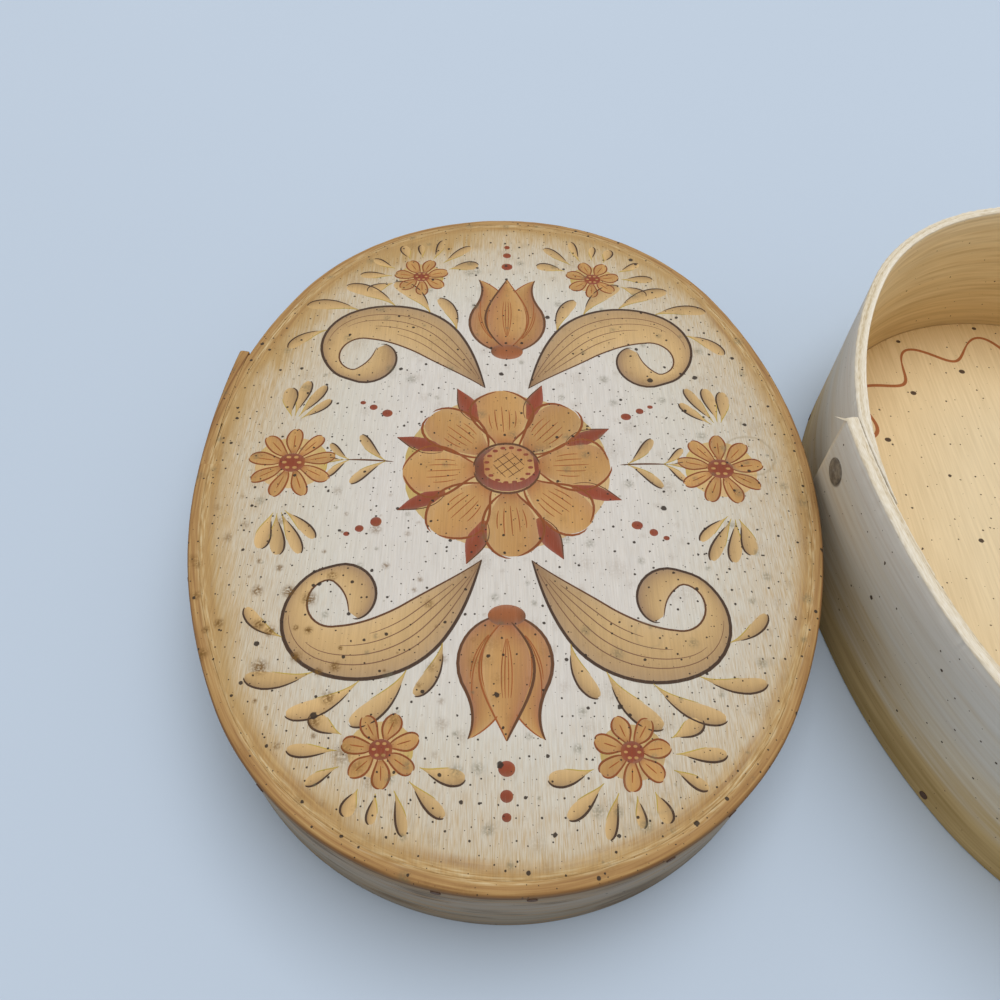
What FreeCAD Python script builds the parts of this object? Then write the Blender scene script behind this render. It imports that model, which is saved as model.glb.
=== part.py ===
"""A Norwegian tine: an oval bentwood box with a slip-over lid, standing open.

Each tub is one thin wooden band bent round an oval board. The band's two ends are
lapped on the flat side that faces -X, where a column of rivets holds them, and the
board is held by pegs driven through the band into its edge. The lid is a second,
slightly larger tub upside down, and its band slips over the base's. The box is shown
open, with the lid lying on the table beside the base.

Millimetres and degrees. The origin is on the table at the middle of the base's
underside, +Z is up and +Y runs along the oval. The lid is built round its own middle
and then moved to where it lies.
"""
import FreeCAD, Part
import Sketcher
import math
import os
import re

# What can be set by itself, with what it is.
SIZES = {
    "lid_half_width": (106, "middle of the lid to its outer face, across"),
    "lid_half_length": (136.8, "middle of the lid to its outer face, along"),
    "end_tuck": (10.4, "how much less the radius of the lid's ends is than its half width"),
    "lid_height": (40, "height of the lid, rim to top"),
    "base_height": (68, "height of the base, table to top edge"),
    "band": (4, "thickness of both bands"),
    "lid_board": (8, "thickness of the lid's board"),
    "base_board": (8, "thickness of the base's board"),
    "board_seam": (0.15, "gap all round a board, inside its band"),
    "board_bevel": (0.7, "bevel on the edge of the lid's board"),
    "slip": (0.8, "gap on each side between the closed lid and the base"),
    "end_slip": (1, "gap at each end between the closed lid and the base"),
    "end_ease": (5, "how much less the radius of the base's ends is than the lid's inside"),
    "lid_round": (2.5, "rounding of the lid's top edge"),
    "edge_round": (0.8, "rounding of the lid's rim and of the base's edges"),
    "lid_lap_y": (54, "where the lid's lap ends, from the middle along +Y"),
    "base_lap_y": (18.4, "where the base's lap ends, from the middle along +Y"),
    "lap_length": (60, "length over which a lap leaves the oval"),
    "lid_lap_gap": (0.15, "gap between the two layers of the lid's lap"),
    "base_lap_gap": (0.3, "gap between the layers of the base's lap, which has sprung"),
    "skive_tip": (0.5, "thickness left at the band's thinned inner end"),
    "rivet_setback": (8.6, "middle of a rivet to the lap's square end"),
    "head_radius": (4.5, "radius of a rivet's head"),
    "head_depth": (0.9, "thickness of a rivet's head at its rim"),
    "head_crown": (0.3, "how far a rivet's head is domed"),
    "head_proud": (0.1, "how far the head's rim stands out of the wood"),
    "shank_radius": (1.6, "radius of a rivet's shank"),
    "burr_radius": (3.5, "outer radius of the washer that a rivet is closed on"),
    "burr_depth": (0.9, "thickness of that washer"),
    "burr_sink": (0.5, "how deep it is drawn into the wood"),
    "peen_radius": (2.4, "radius of a rivet's spread end"),
    "peen_depth": (0.6, "height of that end"),
    "lid_rivet_low": (11, "height of the lid's lower rivet"),
    "lid_rivet_step": (14, "height from one rivet of the lid to the next"),
    "base_rivet_low": (17.5, "height of the base's lowest rivet"),
    "base_rivet_step": (33, "height from one rivet of the base to the next"),
    "peg_radius": (1.4, "radius of a peg"),
    "peg_length": (18, "length of a peg"),
    "peg_proud": (0.15, "how far a peg stands out of the band"),
    "peg_drop": (3.6, "middle of a peg to the outward face of its board"),
    "rest_gap": (1, "gap left between the base at its lap and the lid that lies beside it"),
    "lid_rest_y": (17, "how far along +Y the lid lies"),
}

LID_RIVET_COUNT = 2
BASE_RIVET_COUNT = 2

# Closer than this is the same place.
NEAR = 1e-6

FULL_TURN = 360

# Plan angles of the pegs, by eye: 0 is +X and 90 is +Y. They keep clear of the laps.
LID_PEG_ANGLES = (-166, -135, -101, -86, -63, -50, -14, 17, 46, 77, 108, 137, 157)
BASE_PEG_ANGLES = (-152, -124, -98, -66, -34, -4, 28, 60, 92, 124, 155)

# The lid's ends turn tighter than a half circle would. The base's oval follows the inside of
# the lid's, less the slip gaps and the step of its lap.
OVALS = {
    "lid_end_radius": "lid_half_width - end_tuck",
    "base_half_width": "lid_half_width - band - (band + base_lap_gap) / 2 - slip",
    "base_half_length": "lid_half_length - band - end_slip",
    "base_end_radius": "lid_end_radius - band - end_ease",
}

# An oval is two side arcs and two end arcs that meet without a corner. In the lap the outer
# layer leaves the oval on a wider arc, and the inner layer is thinned to lie under it. Lap
# angles are seen from the middle of the side arc that faces -X, and turn from -X towards +Y.
TUB_LAYOUT = {
    "TUB_side_radius": "((TUB_half_length - TUB_end_radius)^2 + TUB_half_width^2"
                       " - TUB_end_radius^2) / (2 * (TUB_half_width - TUB_end_radius))",
    "TUB_side_middle": "TUB_side_radius - TUB_half_width",
    "TUB_end_middle": "TUB_half_length - TUB_end_radius",
    "TUB_lean_x": "TUB_side_middle / hypot(TUB_side_middle; TUB_end_middle)",
    "TUB_lean_y": "TUB_end_middle / hypot(TUB_side_middle; TUB_end_middle)",
    "TUB_lap_turn": "lap_length / TUB_side_radius * 1 rad",
    "TUB_lap_start": "asin(TUB_lap_y / TUB_side_radius) - TUB_lap_turn",
    "TUB_skive_side": "TUB_side_radius - band - TUB_lap_gap",
    "TUB_lap_shift": "(TUB_side_radius^2 - TUB_skive_side^2)"
                     " / (2 * (TUB_skive_side - TUB_side_radius * cos(TUB_lap_turn)))",
    "TUB_lap_radius": "TUB_side_radius - band + TUB_lap_shift",
    "TUB_lap_middle_x": "TUB_side_middle + TUB_lap_shift * cos(TUB_lap_start)",
    "TUB_lap_middle_y": "-TUB_lap_shift * sin(TUB_lap_start)",
    "TUB_lap_end": "TUB_lap_start + atan2(TUB_side_radius * sin(TUB_lap_turn);"
                   " TUB_lap_shift + TUB_side_radius * cos(TUB_lap_turn))",
    "TUB_tip_radius": "TUB_side_radius - band + skive_tip",
    "TUB_tip_turn": "acos(((2 * TUB_lap_shift + TUB_skive_side) * TUB_skive_side"
                    " - TUB_tip_radius^2) / (2 * TUB_tip_radius * TUB_lap_shift))",
    "TUB_rivet_angle": "TUB_lap_end - rivet_setback / (TUB_lap_radius + band) * 1 rad",
    "TUB_rivet_turn": "TUB_rivet_angle - TUB_lap_start",
    "TUB_rivet_reach": "TUB_lap_shift * cos(TUB_rivet_turn) + sqrt("
                       "(TUB_side_radius - band)^2 - (TUB_lap_shift * sin(TUB_rivet_turn))^2)",
    "TUB_rivet_depth": "TUB_lap_radius + band - TUB_rivet_reach",
}

doc = FreeCAD.newDocument("tine")
home = {}


def bound(words):
    """The words as an expression, with each size's name led by the sheet that holds it."""
    return re.sub(r"[a-z]\w*", lambda name: home.get(name[0], "") + name[0], words)


def number(words):
    """What the words come to now."""
    return float(sizes.evalExpression(bound(words)))


def write_sheet(label, cells):
    """A sheet with one named cell a row: its meaning beside what it holds."""
    sheet = doc.addObject("Spreadsheet::Sheet", label)
    for row, (name, (content, meaning)) in enumerate(cells.items(), start=1):
        sheet.set(f"A{row}", meaning)
        sheet.set(f"B{row}", content)
        sheet.setAlias(f"B{row}", name)
    doc.recompute()
    home.update({name: f"{label}." for name in cells})
    return sheet


sizes = write_sheet("sizes", {name: (str(value), note) for name, (value, note) in SIZES.items()})
worked_out = dict(OVALS)
for tub in ("lid", "base"):
    worked_out.update({
        name.replace("TUB", tub): words.replace("TUB", tub) for name, words in TUB_LAYOUT.items()
    })
write_sheet("layout", {
    name: ("=" + bound(words), "worked out from the sizes") for name, words in worked_out.items()
})


def side_point(tub, radius, angle):
    """A point seen from the middle of the side arc that faces -X."""
    return f"{tub}_side_middle - ({radius}) * cos({angle})", f"({radius}) * sin({angle})"


def lap_point(tub, radius, angle):
    """A point seen from the middle of the arc that the lap's outer layer follows."""
    return (f"{tub}_lap_middle_x - ({radius}) * cos({angle})",
            f"{tub}_lap_middle_y + ({radius}) * sin({angle})")


def oval(tub, inset):
    """The four arcs of an oval, anticlockwise from -X -Y: each one's first point and radius."""
    end, side = f"{tub}_end_radius - ({inset})", f"{tub}_side_radius - ({inset})"
    east, north = f"({end}) * {tub}_lean_x", f"{tub}_end_middle + ({end}) * {tub}_lean_y"
    west, south = f"-({east})", f"-({north})"
    return [((west, south), end), ((east, south), side), ((east, north), end),
            ((west, north), side)]


def band_outside(tub):
    """The band's outer face: the oval, and the outer layer of the lap with its square end."""
    radius, outer_layer = f"{tub}_side_radius", f"{tub}_lap_radius + band"
    return [
        (lap_point(tub, outer_layer, f"{tub}_lap_end"), outer_layer),
        (side_point(tub, radius, f"{tub}_lap_start"), radius),
        *oval(tub, "0"),
        (side_point(tub, radius, f"{tub}_lap_start + {tub}_lap_turn"), None),
    ]


def band_inside(tub):
    """The hollow: the oval, and the slit between the lap's layers, which is open at both ends."""
    radius, skive = f"{tub}_side_radius - band", f"{tub}_lap_radius - {tub}_lap_gap"
    tip = f"{tub}_lap_start + {tub}_tip_turn"
    return [
        (lap_point(tub, f"{tub}_lap_radius", f"{tub}_lap_end"), f"{tub}_lap_radius"),
        (side_point(tub, radius, f"{tub}_lap_start"), radius),
        *oval(tub, "band"),
        (side_point(tub, radius, tip), None),
        (side_point(tub, f"{tub}_tip_radius", tip), f"-({skive})"),
        (lap_point(tub, skive, f"{tub}_lap_end"), None),
    ]


def pin(sketch, kind, side, end, words):
    """Holds a side's end at its distance from the origin, along X or along Y."""
    place = number(words)
    if abs(place) < NEAR:
        axis = -2 if kind == "DistanceX" else -1
        sketch.addConstraint(Sketcher.Constraint("PointOnObject", side, end, axis))
        return
    places = (-1, 1, side, end) if place > 0 else (side, end, -1, 1)
    index = sketch.addConstraint(Sketcher.Constraint(kind, *places, abs(place)))
    sketch.setExpression(f"Constraints[{index}]", bound(words if place > 0 else f"-({words})"))


def draw(body, label, outline, plane="XY_Plane", height="0"):
    """A closed sketch on one of the body's planes. Each side is its first point and its radius:
    none where it is straight, and below zero where it bends the other way."""
    sketch = body.newObject("Sketcher::SketchObject", label)
    origin = next(item for item in body.Origin.OriginFeatures if item.Role == plane)
    sketch.AttachmentSupport = [(origin, "")]
    sketch.MapMode = "FlatFace"
    sketch.setExpression("AttachmentOffset.Base.z", bound(height))
    points = [FreeCAD.Vector(number(x), number(y), 0) for (x, y), _ in outline]
    ends = []
    for (_, radius), first, last in zip(outline, points, points[1:] + points[:1]):
        reach = number(radius) if radius else 0
        start, stop = (last, first) if reach < 0 else (first, last)
        ends.append((2, 1) if reach < 0 else (1, 2))
        if not radius:
            sketch.addGeometry(Part.LineSegment(start, stop))
            continue
        chord = stop - start
        rise = math.sqrt(reach ** 2 - (chord.Length / 2) ** 2)
        middle = (start + stop) / 2 + FreeCAD.Vector(-chord.y, chord.x, 0).normalize() * rise
        circle = Part.Circle(middle, FreeCAD.Vector(0, 0, 1), abs(reach))
        turns = [math.atan2(point.y - middle.y, point.x - middle.x) for point in (start, stop)]
        sketch.addGeometry(Part.ArcOfCircle(circle, *turns))
    for side, ((x, y), radius) in enumerate(outline):
        after = (side + 1) % len(outline)
        sketch.addConstraint(Sketcher.Constraint(
            "Coincident", side, ends[side][1], after, ends[after][0]))
        pin(sketch, "DistanceX", side, ends[side][0], x)
        pin(sketch, "DistanceY", side, ends[side][0], y)
        if radius:
            size = radius if ends[side][0] == 1 else f"-({radius})"
            index = sketch.addConstraint(Sketcher.Constraint("Radius", side, number(size)))
            sketch.setExpression(f"Constraints[{index}]", bound(size))
    return sketch


def new_body(label):
    """A body with this label, for a piece in its tub's own place."""
    return doc.addObject("PartDesign::Body", label)


def pad(body, outline, depth, height="0"):
    """Raises the outline by the depth, from the height."""
    feature = body.newObject("PartDesign::Pad", f"{body.Label}_pad")
    feature.Profile = draw(body, f"{body.Label}_outline", outline, height=height)
    feature.setExpression("Length", bound(depth))
    doc.recompute()


def hollow(body, outline):
    """Cuts the outline right through, upwards from the table."""
    feature = body.newObject("PartDesign::Pocket", f"{body.Label}_hollow")
    feature.Profile = draw(body, f"{body.Label}_inside", outline)
    feature.Type = "ThroughAll"
    feature.Reversed = True
    doc.recompute()


def soften(body, kind, size, height):
    """Rounds or bevels the curved edges that lie at this height."""
    before, level = body.Tip, number(height)
    edges = [
        f"Edge{index}" for index, edge in enumerate(before.Shape.Edges, start=1)
        if edge.Curve.TypeId == "Part::GeomCircle"
        and all(abs(point.Z - level) < NEAR for point in edge.Vertexes)
    ]
    feature = body.newObject(f"PartDesign::{kind}", f"{body.Label}_{kind.lower()}")
    feature.Base = (before, edges)
    feature.setExpression("Radius" if kind == "Fillet" else "Size", bound(size))
    doc.recompute()


def turn_up(label, profile, spots, tub):
    """A column of equal round pieces in the tub's lap, each turned from its profile: distance
    from the axis, and depth below the band's outer face."""
    count, low, step = spots
    body = new_body(label)
    feature = body.newObject("PartDesign::Revolution", f"{label}_turned")
    feature.Profile = draw(body, f"{label}_profile", profile, plane="XZ_Plane")
    feature.ReferenceAxis = (feature.Profile[0], ["V_Axis"])
    feature.Angle = FULL_TURN
    doc.recompute()
    column = body.newObject("PartDesign::LinearPattern", f"{label}_column")
    column.Originals = [feature]
    column.Direction = (feature.Profile[0], ["H_Axis"])
    column.Reversed = True
    column.Occurrences = count
    column.setExpression("Length", bound(f"{count - 1} * {step}"))
    body.Tip = column
    x, y = lap_point(tub, f"{tub}_lap_radius + band", f"{tub}_rivet_angle")
    lay_level(body, x, y, low, f"-{tub}_rivet_angle")
    doc.recompute()
    return body


def lay_level(thing, x, y, height, angle):
    """Lays the thing's own Z axis level, from this place along the plan angle."""
    thing.setExpression("Placement", bound(
        f"placement(vector({x}; {y}; {height}); rotation({angle}; 90; 0))"))


def rivets(tub, spots):
    """Domed head let into the outer face, shank through both layers, spread end inside."""
    under_head = "head_depth - head_proud"
    end = f"{tub}_rivet_depth - burr_sink + burr_depth"
    crown = "(head_radius^2 + head_crown^2) / (2 * head_crown)"
    profile = [
        (("0", "-head_proud - head_crown"), None),
        (("0", f"{end} + peen_depth"), None),
        (("shank_radius", f"{end} + peen_depth"), None),
        (("peen_radius", end), None),
        (("shank_radius", end), None),
        (("shank_radius", under_head), None),
        (("head_radius", under_head), None),
        (("head_radius", "-head_proud"), f"-({crown})"),
    ]
    return turn_up(f"{tub}_rivets", profile, spots, tub)


def burrs(tub, spots):
    """The washers that the rivets are closed on."""
    outer, inner = f"{tub}_rivet_depth - burr_sink", f"{tub}_rivet_depth - burr_sink + burr_depth"
    profile = [
        (("shank_radius", outer), None),
        (("burr_radius", outer), None),
        (("burr_radius", inner), None),
        (("shank_radius", inner), None),
    ]
    return turn_up(f"{tub}_burrs", profile, spots, tub)


def group(label, things):
    """Separate solids kept as one."""
    together = doc.addObject("Part::Compound", label)
    together.Links = things
    doc.recompute()
    return together


def pegs(tub, angles, height):
    """Round pegs through the band into the board's edge, square to the oval at each angle."""
    made = []
    for angle in angles:
        across, along = math.cos(math.radians(angle)), math.sin(math.radians(angle))
        on_end = abs(along) > number(f"{tub}_lean_y")
        radius = f"{tub}_{'end' if on_end else 'side'}_radius + peg_proud"
        x = "0" if on_end else f"{-math.copysign(1, across)} * {tub}_side_middle"
        y = f"{math.copysign(1, along)} * {tub}_end_middle" if on_end else "0"
        peg = doc.addObject("Part::Cylinder", f"{tub}_peg")
        peg.setExpression("Radius", bound("peg_radius"))
        peg.setExpression("Height", bound("peg_length"))
        lay_level(peg, f"{x} + ({radius}) * cos({angle})", f"{y} + ({radius}) * sin({angle})",
                  height, f"{angle + 180}")
        made.append(peg)
    return group(f"{tub}_peg_ring", made)


def bored(label, piece, *fillings):
    """The piece with a close hole for each thing that fills it."""
    for filling in fillings:
        cut = doc.addObject("Part::Cut", f"{label}_for_{filling.Label}")
        cut.Base, cut.Tool = piece, filling
        doc.recompute()
        piece = cut
    piece.Label = label
    return piece


def band(tub, top_round):
    """The bent band of a tub, lapped on its -X side, before it is bored."""
    body = new_body(f"{tub}_bent")
    pad(body, band_outside(tub), f"{tub}_height")
    soften(body, "Fillet", top_round, f"{tub}_height")
    soften(body, "Fillet", "edge_round", "0")
    hollow(body, band_inside(tub))
    return body


def board(tub, height):
    """The oval board of a tub, before it is bored."""
    body = new_body(f"{tub}_sawn")
    pad(body, oval(tub, "band + board_seam"), f"{tub}_board", height)
    return body


def build_tub(tub, board_name, board_level, peg_level, top_round, spots, angles):
    """All the pieces of one tub in its own place, by name."""
    rivet_column, burr_column = rivets(tub, spots), burrs(tub, spots)
    peg_ring = pegs(tub, angles, peg_level)
    wood = board(tub, board_level)
    if tub == "lid":
        soften(wood, "Chamfer", "board_bevel", "lid_height")
    return [
        bored(f"{tub}_band", band(tub, top_round), rivet_column, burr_column, peg_ring),
        bored(board_name, wood, peg_ring),
        group(f"{tub}_lap_rivets", [rivet_column]),
        group(f"{tub}_lap_burrs", [burr_column]),
        group(f"{tub}_pegs", [peg_ring]),
    ]


base = build_tub("base", "base_bottom", "0", "peg_drop", "edge_round",
                 (BASE_RIVET_COUNT, "base_rivet_low", "base_rivet_step"), BASE_PEG_ANGLES)
lid = build_tub("lid", "lid_top", "lid_height - lid_board", "lid_height - peg_drop", "lid_round",
                (LID_RIVET_COUNT, "lid_rivet_low", "lid_rivet_step"), LID_PEG_ANGLES)

# The lid lies beside the base, clear of its lap.
lid_rest_x = "-(base_half_width + band + base_lap_gap + rest_gap + lid_half_width)"
for piece in lid:
    piece.setExpression("Placement.Base.x", bound(lid_rest_x))
    piece.setExpression("Placement.Base.y", bound("lid_rest_y"))
doc.recompute()

for item in doc.Objects:
    if {"Invalid", "Error"} & set(item.State):
        raise RuntimeError(f"{item.Label} failed: {item.State}")

os.makedirs("parts", exist_ok=True)
for piece in base + lid:
    shape = piece.Shape
    if shape.isNull() or not shape.isValid():
        raise RuntimeError(f"{piece.Label} has no valid shape")
    shape.exportStep(f"parts/{piece.Label}.step")
    print(f"{piece.Label}: {len(shape.Solids)} solid(s), {shape.Volume / 1000:.2f} cm3")
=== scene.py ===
# %% [markdown]
# A painted Norwegian tine, standing open. It is an oval box of bent wood with a lid that slips
# over it. Each of its two tubs is one thin band bent round an oval board, lapped and riveted.
# The lid lies face up beside the base, so its painted top is what the eye goes to first.
#
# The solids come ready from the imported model. This lesson gives them their looks: it measures
# the solids, redraws the bands and boards as finer meshes in the same places, lays the painting
# on the lid stroke by stroke, and mixes every finish from nodes.

# %% Load the solids
import math
from functools import partial

import bpy
import numpy as np
from mathutils import Euler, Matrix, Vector, noise


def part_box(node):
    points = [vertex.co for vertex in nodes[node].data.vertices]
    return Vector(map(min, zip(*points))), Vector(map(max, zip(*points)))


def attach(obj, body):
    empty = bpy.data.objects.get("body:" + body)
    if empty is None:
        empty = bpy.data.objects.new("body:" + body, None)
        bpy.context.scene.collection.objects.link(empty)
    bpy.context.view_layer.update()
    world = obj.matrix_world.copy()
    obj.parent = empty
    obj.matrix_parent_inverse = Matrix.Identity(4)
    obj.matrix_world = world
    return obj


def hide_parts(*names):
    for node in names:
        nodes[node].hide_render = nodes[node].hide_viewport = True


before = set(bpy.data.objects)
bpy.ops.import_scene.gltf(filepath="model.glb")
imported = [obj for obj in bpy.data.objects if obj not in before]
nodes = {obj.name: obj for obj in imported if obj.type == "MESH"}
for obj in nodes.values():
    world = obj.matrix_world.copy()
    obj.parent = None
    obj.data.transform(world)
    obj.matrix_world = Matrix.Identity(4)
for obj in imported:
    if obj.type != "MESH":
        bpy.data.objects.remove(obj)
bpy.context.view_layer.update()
scene = bpy.context.scene
print("solids:", sorted(nodes))

# %% [markdown]
# Blender works in metres and in linear light, but a maker thinks in millimetres and picks paint
# from a swatch. One number and one function turn the one into the other. Another function adds a
# node with its settings and its links, so that a finish reads as a short list: what the node is,
# and then what goes into it, in the order in which Blender's editor shows its sockets. A map
# range, for example, takes a value, the two ends it comes from and the two ends it goes to.

# %% Millimetres, paint swatches and nodes
MM = 0.001

# The setting that names a node's job, where its kind alone doesn't.
JOBS = {"Math": "operation", "VectorMath": "operation", "Mix": "data_type"}


def swatch(code):
    """An sRGB hex colour as linear red, green, blue and alpha."""
    channels = [int(code[place:place + 2], 16) / 255 for place in (1, 3, 5)]
    return [*(c / 12.92 if c <= 0.04045 else ((c + 0.055) / 1.055) ** 2.4 for c in channels), 1]


def add_node(tree, kind, *values, stops=None, **named):
    """Adds a node and gives back its outputs by number and by name. Its kind may be followed by
    its job, as in Math.ADD. The values and links fill its sockets in order. A name with a
    capital is a socket too, and a name without one is a setting. A colour ramp takes stops, each
    a place and a swatch."""
    kind, _, job = kind.partition(".")
    node = tree.nodes.new(f"ShaderNode{kind}")
    if job:
        setattr(node, JOBS[kind], job)
    if stops:
        ramp = node.color_ramp.elements
        ramp.remove(ramp[1])
        for index, (where, code) in enumerate(stops.items()):
            stop = ramp.new(where) if index else ramp[0]
            stop.position, stop.color = where, swatch(code)
    filled = list(zip([socket for socket in node.inputs if socket.enabled], values))
    for name, value in named.items():
        if name.islower():
            setattr(node, name, value)
        else:
            filled.append((node.inputs[name.replace("_", " ")], value))
    for socket, value in filled:
        if isinstance(value, bpy.types.NodeSocket):
            tree.links.new(value, socket)
        else:
            socket.default_value = value
    outputs = [socket for socket in node.outputs if socket.enabled]
    return {**dict(enumerate(outputs)), **{socket.name: socket for socket in outputs}}


def new_material(name):
    """An empty material, and the function that adds nodes to it."""
    material = bpy.data.materials.new(name)
    material.use_nodes = True
    material.node_tree.nodes.clear()
    return material, partial(add_node, material.node_tree)


# %% [markdown]
# The camera stands where the photographer stood: close above the lid's near end, looking down
# steeply, with a slight roll. A phone's main lens is about as wide as 31 mm on a square frame.
# The lens, place and three turns fully set the view, so nothing has to be aimed or tracked.

# %% The camera
CAMERA_PLACE = Vector((-215.9, -163.4, 275.4)) * MM
LOOK_DOWN, LOOK_ASIDE, ROLL = 54.67, 1.12, 1.72
LENS = 30.98

camera = bpy.data.objects.new("camera", bpy.data.cameras.new("camera"))
camera.data.lens = LENS
camera.data.clip_start = 10 * MM
camera.location = CAMERA_PLACE
turn = Euler((math.radians(90 - LOOK_DOWN), 0, -math.radians(LOOK_ASIDE))).to_matrix()
camera.rotation_euler = (turn @ Euler((0, 0, math.radians(ROLL))).to_matrix()).to_euler()
scene.collection.objects.link(camera)
scene.camera = camera
print("camera stands", round(CAMERA_PLACE.z / MM), "mm above the table")

# %% [markdown]
# The box lies on a pale, cool table in a room full of soft daylight. A wide lamp high over it and
# a little behind gives the short shadow towards the viewer, a weaker one over the viewer's left
# shoulder opens that shadow up, and a pale, slightly warm sky fills the rest. Together they light
# a level surface by about one, so that a colour renders about as it is written. Harder lamps
# would dig shadows that the photograph doesn't have.

# %% Table, sky and lamps
TABLE_COLOUR, TABLE_MOTTLE, SKY_COLOUR = "#B7C6D9", "#B0BFD1", "#F8F5F0"
TABLE_SIZE = 20
LAMP_AIM = Vector((-0.1, 0, 0))
SKY_LEVEL = 0.58
WINDOW = {"place": (0.4, 0.9, 3.4), "size": 2.6, "watts": 73, "colour": "#FFFFFF"}
ROOM = {"place": (-0.8, -0.8, 3.8), "size": 2.6, "watts": 20, "colour": "#FFF8EE"}


def hang_lamp(name, plan):
    """A square soft lamp that faces the lid's middle."""
    light = bpy.data.lights.new(name, "AREA")
    light.energy, light.size = plan["watts"], plan["size"]
    light.color = swatch(plan["colour"])[:3]
    lamp = bpy.data.objects.new(name, light)
    lamp.location = plan["place"]
    lamp.rotation_euler = (LAMP_AIM - lamp.location).to_track_quat("-Z", "Y").to_euler()
    scene.collection.objects.link(lamp)


def lay_table():
    """A wide floor just under the box, pale and slightly mottled like brushed board."""
    bpy.ops.mesh.primitive_plane_add(size=TABLE_SIZE, location=(0, 0, 0))
    table = bpy.context.object
    table.name = "table"
    material, add = new_material("table_laminate")
    mottle = add("TexNoise", Scale=30.0, Detail=4.0)["Fac"]
    colour = add("Mix.RGBA", mottle, swatch(TABLE_MOTTLE), swatch(TABLE_COLOUR))[0]
    shader = add("BsdfPrincipled", Base_Color=colour, Roughness=0.8,
                 Specular_IOR_Level=0.15)["BSDF"]
    add("OutputMaterial", shader)
    table.data.materials.append(material)


def light_sky():
    """A pale sky that fills the shadows, and that the camera and reflections see as brighter."""
    scene.world = bpy.data.worlds.new("sky")
    scene.world.use_nodes = True
    scene.world.node_tree.nodes.clear()
    add = partial(add_node, scene.world.node_tree)
    sky = add("Background", Color=swatch(SKY_COLOUR), Strength=SKY_LEVEL)[0]
    seen = add("Background", Color=swatch(SKY_COLOUR), Strength=1.0)[0]
    rays = add("LightPath")
    straight = add("Math.MAXIMUM", rays["Is Camera Ray"], rays["Is Glossy Ray"])[0]
    straight = add("Math.MAXIMUM", straight, rays["Is Transmission Ray"])[0]
    direct = add("MixShader", straight, sky, seen)[0]
    add("OutputWorld", direct)


lay_table()
light_sky()
hang_lamp("window", WINDOW)
hang_lamp("room", ROOM)
scene.view_settings.view_transform = "Standard"

# %% [markdown]
# A tine's outline is two wide side arcs and two tighter end arcs that meet without a corner. The
# band is steam-bent round that outline, and where its ends overlap, the outer layer leaves the
# oval on a slightly wider arc while the inner end is thinned with a knife to a feather edge.
#
# The meshes below have to lie exactly on the solids, so each tub works out its arcs from the
# same few sizes: the board's box is measured on the solid, and the rest is named here.

# %% The oval and its lap
BAND = 4.0
BOARD_SEAM = 0.15
LAP_LENGTH = 60.0
SKIVE_TIP = 0.5
END_TUCK, END_EASE = 10.4, 5.0
# The share of the gap between the lap's two layers that old paint and dirt fill.
LAP_FILL = 0.9


class Tub:
    """One tub's oval in millimetres about its own middle, and the lap of its band."""

    def __init__(self, body, board, end_radius, lap_y, lap_gap):
        self.body, self.board, self.lap_gap = body, board, lap_gap
        low, high = (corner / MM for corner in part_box(board))
        self.middle = (low + high) / 2
        self.board_low, self.board_high = low.z, high.z
        low_band, high_band = (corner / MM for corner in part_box(f"{body}_band"))
        self.low, self.high = low_band.z, high_band.z
        self.half_width = (high.x - low.x) / 2 + BAND + BOARD_SEAM
        self.half_length = (high.y - low.y) / 2 + BAND + BOARD_SEAM
        self.end_radius = self.half_width - END_TUCK if end_radius is None else end_radius
        reach, width = self.half_length - self.end_radius, self.half_width
        self.side_radius = (reach ** 2 + width ** 2 - self.end_radius ** 2) / (
            2 * (width - self.end_radius))
        self.side_middle = self.side_radius - width
        self.end_middle = reach
        self.span = math.atan2(self.end_middle, self.side_middle)
        self.lap_turn = LAP_LENGTH / self.side_radius
        self.lap_start = math.asin(lap_y / self.side_radius) - self.lap_turn
        self.skive = self.side_radius - BAND - lap_gap
        self.shift = (self.side_radius ** 2 - self.skive ** 2) / (
            2 * (self.skive - self.side_radius * math.cos(self.lap_turn)))
        self.lap_radius = self.side_radius - BAND + self.shift
        self.lap_middle = (self.side_middle + self.shift * math.cos(self.lap_start),
                           -self.shift * math.sin(self.lap_start))
        self.lap_end = self.lap_start + math.atan2(
            self.side_radius * math.sin(self.lap_turn),
            self.shift + self.side_radius * math.cos(self.lap_turn))
        self.skive_radius = self.lap_radius - lap_gap
        tip_radius = self.side_radius - BAND + SKIVE_TIP
        self.tip_turn = math.acos(
            ((2 * self.shift + self.skive) * self.skive - tip_radius ** 2)
            / (2 * tip_radius * self.shift))

    def arcs(self):
        """The whole oval, anticlockwise from the -X side: middle, radius and plan angles."""
        half, ends, sides = math.pi, self.end_middle, self.side_middle
        return [
            ((sides, 0), self.side_radius, half, half + self.span),
            ((0, -ends), self.end_radius, half + self.span, 2 * half - self.span),
            ((-sides, 0), self.side_radius, 2 * half - self.span, 2 * half + self.span),
            ((0, ends), self.end_radius, 2 * half + self.span, 3 * half - self.span),
            ((sides, 0), self.side_radius, 3 * half - self.span, 3 * half),
        ]


lid = Tub("lid", "lid_top", end_radius=None, lap_y=54.0, lap_gap=0.15)
base = Tub("base", "base_bottom", end_radius=lid.end_radius - BAND - END_EASE, lap_y=18.4,
           lap_gap=0.3)
for tub in (lid, base):
    print(f"{tub.body}: {2 * tub.half_width:.1f} by {2 * tub.half_length:.1f} mm,"
          f" side arcs of {tub.side_radius:.1f} mm, end arcs of {tub.end_radius:.1f} mm")

# %% [markdown]
# A bent band is easiest to build the way a shipwright lofts a hull: walk along it in short steps,
# and at each station set down the same cross-section. A station is a point and a direction across
# the band, and from then on every detail is a depth below the outer face and a height. The walk
# starts at the lap's square outer end, goes once round, and ends at the thinned inner end.

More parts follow.
